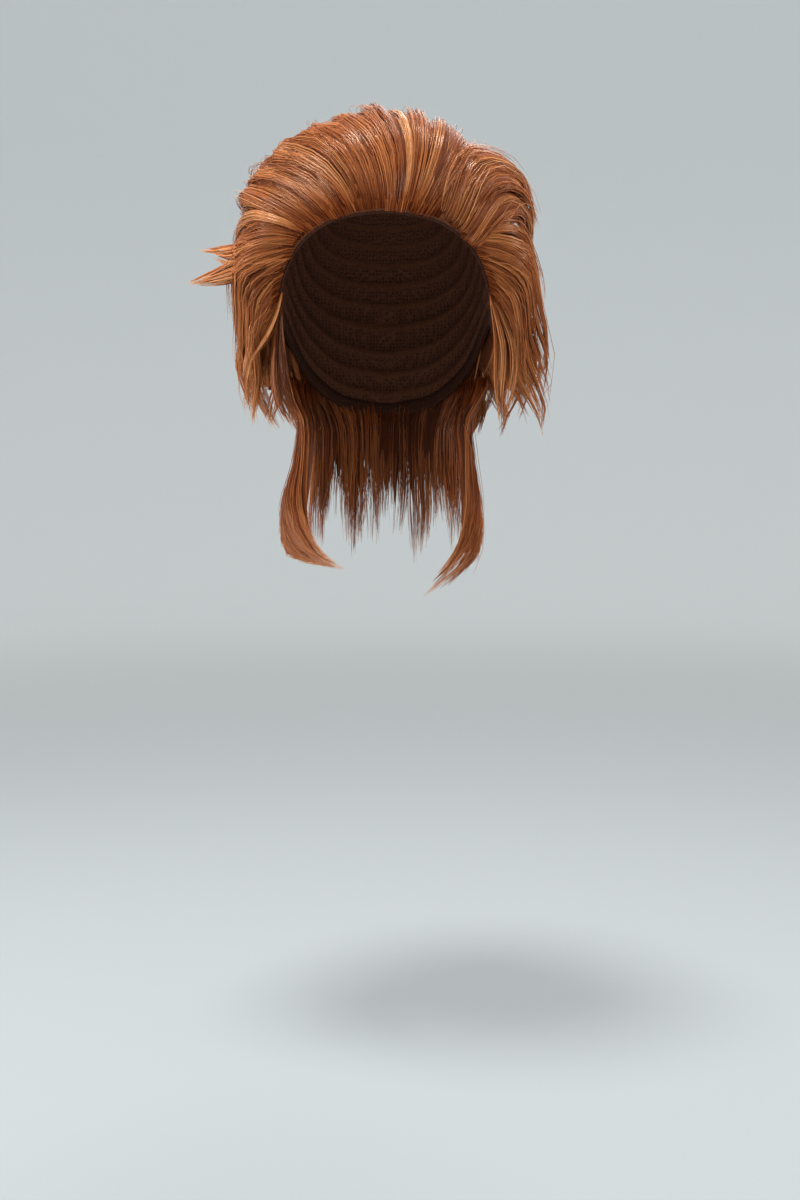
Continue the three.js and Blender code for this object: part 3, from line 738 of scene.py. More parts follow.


# %% [markdown]
# ## A shell under the fibres, coloured as painted shade
#
# Between fibres the eye sees more hair, deep in shade. Without it the cap would show through every
# parting, so each mass has a closed shell about 1 to 4 mm under its face, coloured darker as painted
# shade. It could be a plain sheet, but that looks like card, so it has fine ridges and its end is cut
# in uneven points.


# %% Closed shells
weld = 2e-5
sliver = 1e-5


def closed_sheet(outside, inside, across, along):
    """A closed mesh between two grids of points, as a bmesh. Its points know where they are."""
    made = bmesh.new()
    layers = [made.verts.layers.float.new(name) for name in ("lane", "along", "tone")]

    def add_points(grid, tone):
        rows = []
        for column, shares, lengths in zip(grid, across, along):
            rows.append([made.verts.new(p) for p in column])
            for vert, share, length in zip(rows[-1], shares, lengths):
                vert[layers[0]], vert[layers[1]], vert[layers[2]] = share, length, tone
        return rows

    # Painted shade: the inner face gets a tone of -1, so it is drawn darker, as hair in shade towards the
    # head.
    top, low = add_points(outside, 0.0), add_points(inside, -1.0)

    def patch(a, b):
        for i in range(1, len(a)):
            made.faces.new([a[i - 1], b[i - 1], b[i], a[i]])

    for c in range(1, len(top)):
        patch(top[c - 1], top[c])
        patch(low[c], low[c - 1])
    patch(low[0], top[0])
    patch(top[-1], low[-1])
    patch([c[0] for c in top], [c[0] for c in low])
    patch([c[-1] for c in low], [c[-1] for c in top])
    bmesh.ops.remove_doubles(made, verts=made.verts, dist=weld)
    bmesh.ops.dissolve_degenerate(made, edges=made.edges, dist=sliver)
    bmesh.ops.recalc_face_normals(made, faces=made.faces)
    return made


print("closed_sheet is ready")

# %% The shell of a mass
shell_rings = 26
shell_seed = 1
uneven_points = 0.8
most_set_back = 0.45
ridged_from = 0.2
thin_root, full_at = 0.2, 0.08
thin_from, thin_over, thinned = 0.7, 0.3, 0.9


def under_layer(mass, below=0.0015, fine=40, reach=0.95, start=0.0, relief=0.0012, pointed=0.12):
    """The shell of a mass of hair, set back from its outer face and its tips, in fine ridges."""
    rng = np.random.default_rng(shell_seed)
    columns = 2 * fine + 1
    share = np.repeat(np.linspace(0, 1, columns)[:, None], shell_rings, 1)
    short = np.arange(fine + 1) % 2 + rng.uniform(0, uneven_points, fine + 1)
    short = pointed * short / (1 + uneven_points)
    ends = reach * (1 - np.interp(share * fine, np.arange(fine + 1), short))
    along = (start + (ends - start) * np.linspace(0, 1, shell_rings)[None]) * mass.reach(share)
    ridges = rng.normal(0, 1, (2, fine + 1))
    root, tip = (np.interp(share[:, :1] * fine, np.arange(fine + 1), r) for r in ridges)
    ridge = mix(root, tip, smooth(along))
    inner, outer = mass.lifts(share, along)
    set_back = below - relief * ridge * smooth(along / ridged_from)
    set_back = np.clip(set_back, 0, most_set_back * (outer - inner))
    bottom = inner if isinstance(mass, ScalpStrip) else inner + set_back
    face = bottom + (outer - set_back - bottom) * mix(thin_root, 1, smooth(along / full_at))
    if mass.hangs:
        done = along / (ends * mass.reach(share))
        thin = thinned * smooth((done - thin_from) / thin_over)
        middle = (bottom + face) / 2
        bottom, face = mix(bottom, middle, thin), mix(face, middle, thin)
    outside, inside = mass.point(share, along, face), mass.point(share, along, bottom)
    breadth = np.linalg.norm(np.diff(outside, axis=0), axis=-1).sum(0).mean()
    return closed_sheet(outside, inside, share * breadth, along)


print("under_layer is ready")


# %% Objects from meshes
def add_object(name, data):
    """A mesh, lamp or camera as an object in the scene."""
    made = bpy.data.objects.new(name, data)
    bpy.context.scene.collection.objects.link(made)
    return made


def add_solid(name, made):
    """A bmesh as an object with smooth shading."""
    mesh = bpy.data.meshes.new(name)
    made.to_mesh(mesh)
    made.free()
    mesh.shade_smooth()
    return add_object(name, mesh)


print("add_object and add_solid are ready")


# %% Make one piece from wisps and shells
def make_hair(name, combed, shells, node, seed, width=0.00055, ragged=0.005):
    """A piece of hair that stands for a CAD node: its fibres and the shells under them, dark as painted
    shade.
    """
    lines = add_object(name + "_wisps", lines_mesh(name + "_wisps", combed))
    grown = lines.modifiers.new("fibres", "NODES")
    grown.node_group = fibre_tree
    own = {"Fibre width": width, "Ragged ends": ragged, "Seed": seed, "Finish": copper_fibre}
    for item in fibre_tree.interface.items_tree:
        if item.in_out == "INPUT" and item.name != "Wisps":
            grown[item.identifier] = own.get(item.name, item.default_value)
    graph = bpy.context.evaluated_depsgraph_get()
    fibres = bpy.data.meshes.new_from_object(
        lines.evaluated_get(graph), preserve_all_data_layers=True, depsgraph=graph
    )
    bpy.data.objects.remove(lines)
    fibres.name = name
    piece = add_object(name, fibres)
    strands = len(fibres.polygons)
    pieces = [piece]
    for i, shell in enumerate(shells):
        pieces.append(add_solid(f"{name}_under_{i}", shell))
        pieces[-1].data.materials.append(under_fibre_painted_shade)
    picked = dict(active_object=piece, selected_objects=pieces, selected_editable_objects=pieces)
    with bpy.context.temp_override(object=piece, **picked):
        bpy.ops.object.join()
    piece.data.calc_loop_triangles()
    print(f"{name}: {strands} fibre faces, {len(piece.data.loop_triangles)} triangles")
    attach(piece, "root")
    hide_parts(node)
    return piece


print("make_hair is ready")

# %% [markdown]
# ## The masses over the scalp
#
# The same tables as in the CAD source give the top, the sides, the crown and the nape. They are all
# laid out before any hair is combed, because the outermost layer runs over several of them.

# %% Top, sides, crown and nape
brow_azimuth = [-54, -38, -20, -4, 14, 34]
tip_azimuth = [-138, -156, -168, -178, -190, -206]
tip_elevation = [20, 26, 30, 32, 30, 24]
brow_lift = [1.1, 0.95, 0.92, 0.98, 0.94, 0.78]
brow_rows = [
    (a, rim_at(a) + 2, tip, up, lift, 0.34, 0.62)
    for a, tip, up, lift in zip(brow_azimuth, tip_azimuth, tip_elevation, brow_lift)
]
top_mass = ScalpStrip(brow_rows, locks=9, notch=0.14, soft_edge=0.05)
under_curl_rows = [(35, 36, 152, 28, 0.6, 0.4, 0.8), (46, 30, 140, 22, 0.7, 0.4, 0.8)]
temple_rows = [
    (46, 30, 140, 22, 1.0, 0.4, 0.8),
    (60, 21, 137, 6, 1.02, 0.4, 0.82),
    (70, 10, 130, -8, 1.06, 0.4, 0.85),
    (77, -2, 118, -22, 1.08, 0.4, 0.9),
]
jaw_rows = [
    (80, 2, 86, -24, 1.1, 0.5, 1),
    (96, 4, 98, -30, 1.08, 0.5, 0.95),
    (112, 0, 112, -36, 1, 0.5, 0.8),
    (130, -4, 128, -42, 0.92, 0.5, 0.75),
]


def mirrored(rows, *angles):
    """The rows for the wearer's other side. Columns that are angles round the head change sign."""
    return [[-x if i in angles else x for i, x in enumerate(row)] for row in rows]


def fuller(rows, share):
    return [(*r[:4], r[4] * share, *r[5:]) for r in rows]


at_temple = dict(notch=0.12, soft_edge=0.08)
temples = {
    "right": ScalpStrip(mirrored(temple_rows, 0, 2), locks=5, **at_temple),
    "left": ScalpStrip([*under_curl_rows, *temple_rows[1:]], locks=6, **at_temple),
}
at_jaw = dict(locks=4, notch=0.2, soft_edge=0.3, hangs=True)
left_fuller = 1.14
jaws = {
    "right": ScalpStrip(mirrored(jaw_rows, 0, 2), **at_jaw),
    "left": ScalpStrip(fuller(jaw_rows, left_fuller), **at_jaw),
}
crown_rows = [
    (-104, 46, -124, -6, 0.92, 0.4, 0.85),
    (-138, 60, -150, -14, 0.88, 0.4, 0.85),
    (-180, 66, -180, -18, 0.86, 0.4, 0.85),
    (-222, 60, -210, -14, 0.88, 0.4, 0.85),
    (-256, 46, -236, -6, 0.92, 0.4, 0.85),
]
nape_rows = [
    (-114, 4, -124, -44, 0.66, 0.4, 1.3),
    (-180, -2, -180, -48, 0.66, 0.4, 1.8),
    (-246, 4, -236, -44, 0.66, 0.4, 1.3),
]
crown_mass = ScalpStrip(crown_rows, locks=7, notch=0.12, soft_edge=0.06)
nape_mass = ScalpStrip(nape_rows, locks=6, notch=0.2, soft_edge=0.06, hangs=True)
print("the sides hang to", min(r[3] for r in jaw_rows), "degrees")

# %% [markdown]
# ### One coat over them all
#
# Real hair doesn't stop where a mass does: the strands of the temple run on over the ear and down to
# the jaw. So the script samples how far the outermost hair stands off in every direction, smooths
# that, and lays a coat of long strands on it. Each strand bends from a root past a middle to a tip.


# %% Where the outermost hair is
step = 4
smoothing, spreading = 4, 14
samples = 260
full_from = 0.8


def outer_lifts(masses):
    """How far full hair stands off the scalp, on a grid of azimuth and elevation.

    Hair counts as full past its rise from the root. Cells without any take it from their neighbours.
    """
    share = np.linspace(0, 1, samples)
    across, along = np.meshgrid(share, share, indexing="ij")
    grid = np.zeros((360 // step, 180 // step + 1))
    for mass in masses:
        toward = mass.toward(across, along)
        azimuth = np.degrees(np.arctan2(toward[..., 0], -toward[..., 1])) % 360
        elevation = np.degrees(np.arcsin(np.clip(toward[..., 2], -1, 1)))
        i = np.round(azimuth / step).astype(int) % len(grid)
        j = np.round((elevation + 90) / step).astype(int)
        risen = along > full_from * guide_at(mass.table, across)["crest"]
        full = risen & (along < mass.reach(across))
        np.maximum.at(grid, (i, j), np.where(full, mass.lifts(across, along)[1], 0))
    filled = (grid > 0).astype(float)
    near = [(di, dj) for di in (-1, 0, 1) for dj in (-1, 0, 1)]
    for turn in range(spreading):
        total = sum(np.roll(grid * filled, shift, (0, 1)) for shift in near)
        weight = sum(np.roll(filled, shift, (0, 1)) for shift in near)
        kept = np.zeros_like(filled) if turn < smoothing else filled
        grid = np.where((weight > 0) & (kept == 0), total / np.maximum(weight, 1), grid)
        filled = (weight > 0).astype(float)
    return grid


outermost = outer_lifts([top_mass, crown_mass, nape_mass, *temples.values(), *jaws.values()])
print("the outermost hair stands up to", round(outermost.max() * mm), "mm off the scalp")


# %% Coat
class Coat(Mass):
    """Strands that lie on the outermost hair. A guide is a root, a middle and a tip direction."""

    locks, notch = 7, 0.12

    def __init__(self, rows, grid, over=0.0, rise=0.0, flare=0.0):
        names = "azimuth elevation mid_azimuth mid_elevation tip_azimuth tip_elevation"
        self.table, self.grid = table_of(names, rows), grid
        self.over, self.rise, self.flare = over, rise, flare

    def toward(self, across, along):
        row = guide_at(self.table, across)
        t = np.asarray(along)[..., None]
        root = direction(row["azimuth"], row["elevation"])
        middle = direction(row["mid_azimuth"], row["mid_elevation"])
        tip = direction(row["tip_azimuth"], row["tip_elevation"])
        return unit((1 - t) ** 2 * root + 2 * t * (1 - t) * middle + t**2 * tip)

    def lifts(self, across, along):
        toward = self.toward(across, along)
        columns, rows = self.grid.shape
        i = np.degrees(np.arctan2(toward[..., 0], -toward[..., 1])) % 360 / 360 * columns
        j = (np.degrees(np.arcsin(np.clip(toward[..., 2], -1, 1))) + 90) / 180 * (rows - 1)
        i0, j0 = np.floor(i).astype(int), np.minimum(np.floor(j).astype(int), rows - 2)
        low = mix(self.grid[i0 % columns, j0], self.grid[(i0 + 1) % columns, j0], i - i0)
        high = mix(self.grid[i0 % columns, j0 + 1], self.grid[(i0 + 1) % columns, j0 + 1], i - i0)
        outer = mix(low, high, j - j0) + self.over + self.flare * smooth(2 * along - 1)
        risen = np.sin(np.pi / 2 * np.clip(along / self.rise, 0, 1)) if self.rise else 1.0
        return 0 * outer + root_sink, root_sink + np.maximum(outer - root_sink, 0) * risen

    def point(self, across, along, lift):
        return off_scalp(self.toward(across, along), lift)


print("a coat has", Coat.locks, "locks")

# %% [markdown]
# ## Hair swept back off the brow
#
# The top is combed straight up from the hairline, rises over a crest and runs back over the crown.
# Seen from the front, the strands lean to the wearer's right before they go over the crest, save
# beside the parting. A few wisps start further up, because a wig has rows of hair all over its cap.


# %% Top hair
lean_by, leans_over = 0.19, 0.4
parting_from, parting_over, straightened = 0.62, 0.3, 0.85
crest_at, turned_back = 0.45, 0.6


def lean_right(across, along):
    """Strands lean towards the wearer's right as they climb to the crest, save those by the parting."""
    by_parting = smooth((across - parting_from) / parting_over)
    past_crest = smooth((along - crest_at) / leans_over)
    share = smooth(across / leans_over) * (1 - straightened * by_parting)
    return -lean_by * share * smooth(along / leans_over) * (1 - turned_back * past_crest)


at_rim = dict(start=(-0.02, -0.008), tucked=True)
off_brow = dict(bend=1.4, lean=lean_right, **at_rim)
over_crest = dict(depth=0.0025, rounding=0.0035, variety=0.38, sway=0.0008, wide=1.1, short=0.32)
further_up = dict(start=(0.1, 0.45), depth=0.005, short=0.3, lean=lean_right)
top_combed = [
    comb(top_mass, 36, 6, seed=11, points=14, fibres=7, **over_crest, **off_brow),
    comb(top_mass, 24, 4, seed=12, points=12, fibres=6, **off_brow),
    comb(top_mass, 16, 4, seed=13, points=9, fibres=6, **further_up),
    strays(top_mass, 26, seed=14, loose=0.004, lean=lean_right),
]
make_hair("hair_swept_back", top_combed, [under_layer(top_mass, 0.003)], "top_hair", seed=3)

# %% [markdown]
# ## Sides
#
# At the temples the hair leaves the rim, sweeps back over the ear and turns down to the jaw, where
# it ends in thin pointed tips. Shorter layers under it fill the side. The wearer's left is fuller. A
# front lock hangs by the cheek on each side, and an inner one closes the gap at the right jaw, toned
# dark as painted shade.

# %% Side hair
side_rows = [
    (50, 29, 74, 32, 130, 0),
    (58, 23, 76, 8, 120, -26),
    (66, 16, 77, -8, 106, -33),
    (73, 6, 79, -16, 97, -33),
    (78, -3, 81, -18, 88, -30),
]
front_locks = {
    "right": [
        (-76, 6.4, 0, 0.3, 0.3),
        (-78, -2.2, 0.07, 0.4, 0.5),
        (-79, -7.2, 0.18, 0.5, 0.65),
        (-81, -11.1, 0.33, 0.5, 0.7),
        (-83, -15.3, 0.44, 0.4, 0.6),
        (-84, -22, 0.55, 0.12, 0.15),
    ],
    "left": [
        (76, 6.2, 0.03, 0.3, 0.3),
        (78, -3.1, 0.12, 0.5, 0.7),
        (80, -10.9, 0.21, 0.7, 1.2),
        (80, -18.8, 0.26, 0.7, 1.35),
        (79, -27.1, 0.33, 0.5, 0.9),
        (78, -34.9, 0.44, 0.12, 0.12),
    ],
}
shaded_inner_lock = [
    (-77, 3.2, 0, 0.3, 0.2),
    (-79, -8.4, 0.03, 0.4, 0.5),
    (-79, -19.3, 0.08, 0.5, 0.9),
    (-77, -27.5, 0.14, 0.5, 1.25),
    (-74, -34.8, 0.13, 0.5, 1.1),
    (-69, -42, 0.05, 0.15, 0.2),
]
sleek = dict(depth=0.002, rounding=0.0018, wide=1.2)
falling = dict(short=0.3, gather=0.4, notch=0.2, **at_rim)
# Painted shade: the wisps along the front edge of the jaw, by the face, are toned darker (tone -0.6).
edge = dict(width=(0.0, 0.1), gather=0.6, fill=True, tone=-0.6)
in_lock = dict(gather=0.1, notch=0.0, short=0.25, spread=2.0, fill=True)


for side_name, rows, flare, seed in (
    ("right", mirrored(side_rows, 0, 2, 4), 0.003, 20),
    ("left", side_rows, 0.018, 30),
):
    temple, jaw = temples[side_name], jaws[side_name]
    coat = Coat(rows, outermost, over=0.001, rise=0.42, flare=flare)
    combed = [
        comb(coat, 28, 6, seed=seed, points=11, **sleek, **falling),
        comb(temple, 12, 4, seed=seed + 1, points=8, fibres=7, depth=0.003, start=(0.12, 0.35)),
        comb(jaw, 12, 7, seed=seed + 2, points=8, gather=0.8, notch=0.6, inside=0.35),
        comb(jaw, 3, 8, seed=seed + 4, points=8, **edge),
        comb(FreeLock(front_locks[side_name]), 3, 9, seed=seed + 5, tone=0.25, **in_lock),
        strays(coat, 30, seed=seed + 3, loose=0.004),
    ]
    if side_name == "right":
        # Painted shade: the inner lock is toned dark (tone -1.2), for the shade between the face and the
        # front lock.
        combed.append(comb(FreeLock(shaded_inner_lock), 3, 8, seed=seed + 6, tone=-1.2, **in_lock))
    shells = [
        under_layer(temple, 0.003, reach=0.88, pointed=0.3),
        under_layer(jaw, 0.004, fine=24, reach=0.7, pointed=0.3),
    ]
    make_hair(f"hair_side_{side_name}", combed, shells, f"side_hair_{side_name}", seed=seed)

# %% [markdown]
# ## Back of the head
#
# Crown hair falls over the back, and a second layer under it covers the nape and flares over the
# long hair. This is the short over long step that makes the cut a mullet. The strands start at many
# heights, as they do on rows of weft, so that no line of roots shows.

# %% Crown and nape
back_rows = [
    (-94, 43, -108, 20, -116, -19),
    (-130, 62, -142, 24, -146, -25),
    (-180, 70, -180, 26, -180, -31),
    (-230, 62, -218, 24, -214, -25),
    (-266, 43, -252, 20, -244, -19),
]
back_coat = Coat(back_rows, outermost)
flowing = dict(notch=0.4, gather=0.5)
back_combed = [
    comb(back_coat, 30, 4, seed=41, start=(0.0, 0.4), **flowing, **sleek),
    comb(back_coat, 24, 4, seed=45, points=8, start=(0.1, 0.6), **flowing),
    comb(nape_mass, 24, 6, seed=43, points=8, depth=0.003, notch=0.25, gather=0.25),
    strays(back_coat, 50, seed=44),
]
back_shells = [under_layer(crown_mass, 0.004), under_layer(nape_mass, reach=0.72, pointed=0.25)]
make_hair("hair_back", back_combed, back_shells, "back_hair", seed=5)

# %% [markdown]
# ## The lock that rolls over, and the flicks
#
# Above the wearer's left temple a big lock climbs, rolls over and drops to curved tips. At the right
# temple two spikes flick out. They are free in the air, so the rolled lock has fibres on its inner
# face too, and in a flick they fill the whole section. The stations follow the CAD model's, with a
# few moved or added near the roots, so that no root shows past the hair that it grows from.

# %% Rolled lock and flicks
curl_rows = [
    [
        (36, 32, 0.02, 0.8, 0.4),
        (38, 38, 0.16, 0.9, 0.8),
        (47, 50, 0.52, 1, 1),
        (66, 50, 0.7, 1, 1),
        (83, 42, 0.85, 0.85, 0.9),
        (91, 30, 0.86, 0.16, 0.2),
    ],
    [
        (43, 30, 0.02, 0.8, 0.4),
        (45, 34, 0.16, 0.9, 0.8),
        (54, 44, 0.5, 1, 1),
        (71, 44, 0.72, 1, 1),
        (86, 36, 0.82, 0.8, 0.8),
        (93, 26, 0.79, 0.14, 0.2),
    ],
    [
        (50, 26, 0.02, 0.8, 0.4),
        (52, 29, 0.16, 0.85, 0.8),
        (61, 37, 0.44, 0.95, 1),
        (76, 37, 0.62, 0.95, 1),
        (88, 29, 0.68, 0.7, 0.8),
        (96, 19, 0.64, 0.12, 0.2),
    ],
]
curl_masses = [FreeLock(rows) for rows in curl_rows]
curled = dict(points=13, fibres=7, depth=0.002, sway=0.001, spread=1.5, inside=0.4)
curl_combed = [comb(m, 6, 8, seed=50 + i, **curled) for i, m in enumerate(curl_masses)]
curl_combed += [strays(m, 5, seed=55 + i, loose=0.003) for i, m in enumerate(curl_masses)]
curl_shells = [under_layer(m, fine=14, start=0.1, reach=0.86) for m in curl_masses]
make_hair("hair_rolled_lock", curl_combed, curl_shells, "curl_lock", seed=6)

flick_rows = {
    "upper": [
        (-63, 26, 0.02, 0.3, 0.3),
        (-66, 23, 0.24, 0.4, 0.4),
        (-70, 20, 0.42, 0.5, 0.56),
        (-77, 17, 0.6, 0.5, 0.6),
        (-83, 17, 0.82, 0.34, 0.4),
        (-88, 17, 1.12, 0.07, 0.1),
    ],
    "lower": [
        (-64, 21, 0.02, 0.3, 0.3),
        (-66, 18, 0.2, 0.44, 0.4),
        (-69, 15, 0.38, 0.56, 0.6),
        (-76, 12, 0.57, 0.66, 0.7),
        (-83, 9, 0.86, 0.42, 0.46),
        (-88, 7, 1.22, 0.07, 0.1),
    ],
}
spiky = dict(start=(0.0, 0.1), sway=0.0008, short=0.2, fill=True, notch=0.1)
for i, (flick, rows) in enumerate(flick_rows.items()):
    mass = FreeLock(rows, size=1.15)
    combed = [comb(mass, 6, 9, seed=60 + i, **spiky)]
    shells = [under_layer(mass, fine=8, start=0.3, reach=0.85, pointed=0.3)]
    make_hair(f"hair_flick_{flick}", combed, shells, f"flick_{flick}", seed=7 + i, width=0.0006)

# %% [markdown]
# ## Long hair and tails
#
# The long hair hangs behind the neck. On each side of the neck a tail narrows, swells, then turns in
# below the throat and ends in a thin point. The stations follow the CAD model's, but the front edges
# of the tails reach a little further forward.

# %% Tails
tail_rows = {
    "right": [
        (112, 138, 0, 0.65, 0.6),
        (97, 122, 0.22, 0.75, 0.8),
        (85, 110, 0.45, 0.85, 1),
        (70, 104, 0.65, 1.2, 1.4),
        (45, 88, 0.87, 1.35, 1.2),
        (22, 40, 0.96, 0.8, 0.2),
    ],
    "left": [
        (112, 138, 0, 0.65, 0.6),
        (98, 121, 0.22, 0.72, 0.7),
        (86, 109, 0.45, 0.75, 0.8),
        (72, 102, 0.67, 0.95, 1.1),
        (52, 86, 0.87, 1.1, 1),
        (20, 36, 1.08, 0.8, 0.2),
    ],
}
tail_rows["right"] = mirrored(tail_rows["right"], 0, 1)
# Painted shade: tone -0.8 draws the tails and the long hair darker, for hair hanging low in shade.
dense_and_shaded = dict(depth=0.0012, rounding=0.0008, uneven=0.0004, sway=0.0008)
dense_and_shaded |= dict(spread=2.0, wide=1.3, variety=0.15, tone=-0.8)
in_tail = dict(inside=0.4, notch=0.0, gather=0.0, short=0.13, golden=0.7)
for side_name, rows in tail_rows.items():
    mass = NeckStrip(rows, locks=3, notch=0.12)
    combed = [
        comb(mass, 8, 8, seed=70, points=12, **in_tail, **dense_and_shaded),
        strays(mass, 8, seed=72, loose=0.003),
    ]
    shells = [under_layer(mass, 0.001, fine=12, reach=0.96, pointed=0.2, relief=0.0004)]
    make_hair(f"tail_{side_name}_hair", combed, shells, f"tail_{side_name}", seed=9, ragged=0.012)

# %% Long hair
long_rows = [
    (116, 244, 0.02, 0.7, 0.6),
    (118, 242, 0.25, 0.8, 0.8),
    (118, 242, 0.5, 0.9, 1),
    (120, 240, 0.75, 1.3, 1),
    (128, 232, 1, 1.9, 0.3),
]
long_mass = NeckStrip(long_rows, locks=5, notch=0.16)
long_combed = [
    comb(long_mass, 26, 7, seed=80, points=8, fibres=7, notch=0.3, short=0.35, inside=0.45, **dense_and_shaded),
    strays(long_mass, 24, seed=82, loose=0.004),
]
long_shells = [under_layer(long_mass, 0.001, reach=0.72, pointed=0.5, relief=0.0004)]
make_hair("long_hair_fibres", long_combed, long_shells, "long_hair", seed=10)

# %% [markdown]
# ## Cap and edge tape
#
# The cap is a thin knitted dome. A tape 9 mm wide is sewn inside its rim and shows as a fine dark
# line under the hair. Both are made again with many more facets than the CAD model needs.

# %% Walls round the head
band_width = 0.009
band_shows = 0.0008
slots = 144
seam = 1e-5
dome_starts, dome_top = 24, 100


def degrees_for(length):
    return math.degrees(length / crown_height)


def soft_rim(azimuth):
    """The rim's elevation with its corners rounded, as the tape rounds them."""
    return sum(rim_at(azimuth + turn) for turn in (-6, -3, 0, 3, 6)) / 5


def wall_around(name, inner, outer, inner_rings, outer_rings, dome):
    """A wall between two lifts. Rings are given as degrees above the rim, from the top down."""
    azimuth = np.arange(slots) * 360 / slots
    rim = soft_rim(azimuth)
    made = bmesh.new()
    row = made.verts.layers.float.new("row")
    skins = []
    for lift_of, rings in ((inner, inner_rings), (outer, outer_rings)):
        loops = []
        for above in rings:
            elevation = rim + above
            if dome and above > dome_starts:
                share = (above - dome_starts) / (dome_top - dome_starts)
                elevation = mix(rim + dome_starts, 90, share)
            lift = np.full(slots, float(lift_of(above)))
            loops.append([made.verts.new(p) for p in off_scalp(direction(azimuth, elevation), lift)])
            for vert in loops[-1]:
                vert[row] = math.radians(above) * crown_height
        skins.append(loops)
    pairs = [pair for loops in skins for pair in zip(loops, loops[1:])]
    pairs += [(skins[0][end], skins[1][end]) for end in ((-1,) if dome else (0, -1))]
    for upper, lower in pairs:
        for i in range(slots):
            j = (i + 1) % slots
            made.faces.new([upper[i], lower[i], lower[j], upper[j]])
    bmesh.ops.remove_doubles(made, verts=made.verts, dist=seam)
    bmesh.ops.recalc_face_normals(made, faces=made.faces)
    piece = add_solid(name, made)
    print(name, len(piece.data.polygons), "faces")
    return piece


print("a slot is", 360 / slots, "degrees wide")

# %% Net dome with rows of weft
weft_pitch, weft_width, weft_relief = 0.012, 0.0035, 0.0005
weft_rows = 13
weft_edge = 0.0004
edge_step = 1.4 * degrees_for(band_width)
band_top = degrees_for(band_width - band_shows + gap)


def cap_inner(above):
    """The net stands a little back between the rows of weft that the hair is sewn on."""
    if above <= band_top + degrees_for(gap / 2):
        return band_wall + gap
    up = (math.radians(above) * crown_height) % weft_pitch
    return 0.0 if up < weft_width * 1.01 else weft_relief


def cap_outer(above):
    return (band_wall + gap) * (1 - float(smooth(above / edge_step - 1))) + cap_wall


weft_rings = []
for row_number in range(1, weft_rows + 1):
    foot = row_number * weft_pitch
    weft_rings += [foot - weft_edge, foot, foot + weft_width, foot + weft_width + weft_edge]
weft_rings = [degrees_for(up) for up in weft_rings if degrees_for(up) < dome_top]
inner_rings = [dome_top, *reversed(weft_rings), band_top + degrees_for(gap), band_top, 3, 0]
outer_rings = [dome_top, 84, 70, 58, 46, 36, 30, 24, 20, 16, 13, 11, 9, 6, 3, 0]
cap_piece = wall_around("cap_net_dome", cap_inner, cap_outer, inner_rings, outer_rings, dome=True)

# %% Tape in the rim
tape_rings = [degrees_for(up) for up in (band_width - band_shows, 0.005, 0.0015, -band_shows)]
tape_lifts = (lambda above: 0.0, lambda above: band_wall)
tape_piece = wall_around("edge_tape_ring", *tape_lifts, tape_rings, tape_rings, dome=False)

# %% [markdown]
# ### Net and tape
#
# The cap is knitted from polyester, matt and dark brown so that it hides under the hair. Its real
# cells are 1 mm wide, too fine to show, so they are drawn 2.6 mm wide, with the holes between the
# threads darker as painted shade. Every 12 mm a row of weft crosses it: a strip 3.5 mm wide that
# carries the hair.


# %% Knitted net and woven tape
thread_edge = (0.04, 0.22)
weft_grain = 0.002
cloth_matt, cloth_shine = 0.9, 0.2


def cloth_finish(name, shaded_hole, thread, cell, depth, weft=None):
    """Net or fine cloth, drawn with one cell every few millimetres, and rows of weft if it has them."""
    finish, shader, add = new_finish(name)
    spot = add("ShaderNodeTexCoord", out="Object")
    cells = {"Vector": spot, "Scale": 1 / cell, "Randomness": 0.5}
    edge = add("ShaderNodeTexVoronoi", cells, out="Distance", feature="DISTANCE_TO_EDGE")
    threads = add("ShaderNodeMapRange", [edge, *thread_edge, 1.0, 0.0])
    height = threads
    shaded_hole = linear(shaded_hole)
    # Painted shade: the holes between the threads take the darker colour.
    colour = add("ShaderNodeMix", {0: threads, 6: shaded_hole, 7: linear(thread)}, out=2, data_type="RGBA")
    if weft:
        row = add("ShaderNodeAttribute", attribute_name="row", out="Fac")
        rows = add("ShaderNodeMath", [row, weft_pitch], operation="DIVIDE")
        up = add("ShaderNodeMath", [rows], operation="FRACT")
        share = weft_width / weft_pitch
        on_weft = add("ShaderNodeMath", [up, share * 1.05], operation="LESS_THAN")
        fine = {"Vector": spot, "Scale": 1 / weft_grain, "Detail": 2}
        grain = add("ShaderNodeTexNoise", fine, out="Fac")
        woven = add("ShaderNodeMix", {0: grain, 6: shaded_hole, 7: linear(weft)}, out=2, data_type="RGBA")
        colour = add("ShaderNodeMix", {0: on_weft, 6: colour, 7: woven}, out=2, data_type="RGBA")
        height = add("ShaderNodeMath", [threads, on_weft], operation="MAXIMUM")
    relief = add("ShaderNodeBump", {"Height": height, "Distance": depth, "Strength": 0.7})
    finish.node_tree.links.new(colour, shader.inputs["Base Color"])
    finish.node_tree.links.new(relief, shader.inputs["Normal"])
    shader.inputs["Roughness"].default_value = cloth_matt
    shader.inputs["Specular IOR Level"].default_value = cloth_shine
    return finish


net_cell, tape_cell = 0.0026, 0.0018
net = cloth_finish("knitted polyester net", "#3E2215", "#5E3826", net_cell, 0.0003, weft="#6B3F28")
tape = cloth_finish("woven polyester tape", "#2E160C", "#452619", tape_cell, 0.0002)
cap_piece.data.materials.append(net)
tape_piece.data.materials.append(tape)
print("finishes:", net.name, "and", tape.name)

# %% What the cap and the tape stand for
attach(cap_piece, "root")
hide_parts("cap")
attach(tape_piece, "root")
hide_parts("edge_band")
print("cap:", cap_piece.name, "and edge band:", tape_piece.name)

# %% [markdown]
# ## Floor, light and camera
#
# A pale floor turns up into a round wall, as in a photo studio, so that every view has the same plain
# background. The sky lights the hair softly. A lamp overhead gives the crest its shine, one at each
# side fills the temples and one behind lifts the back off the wall.

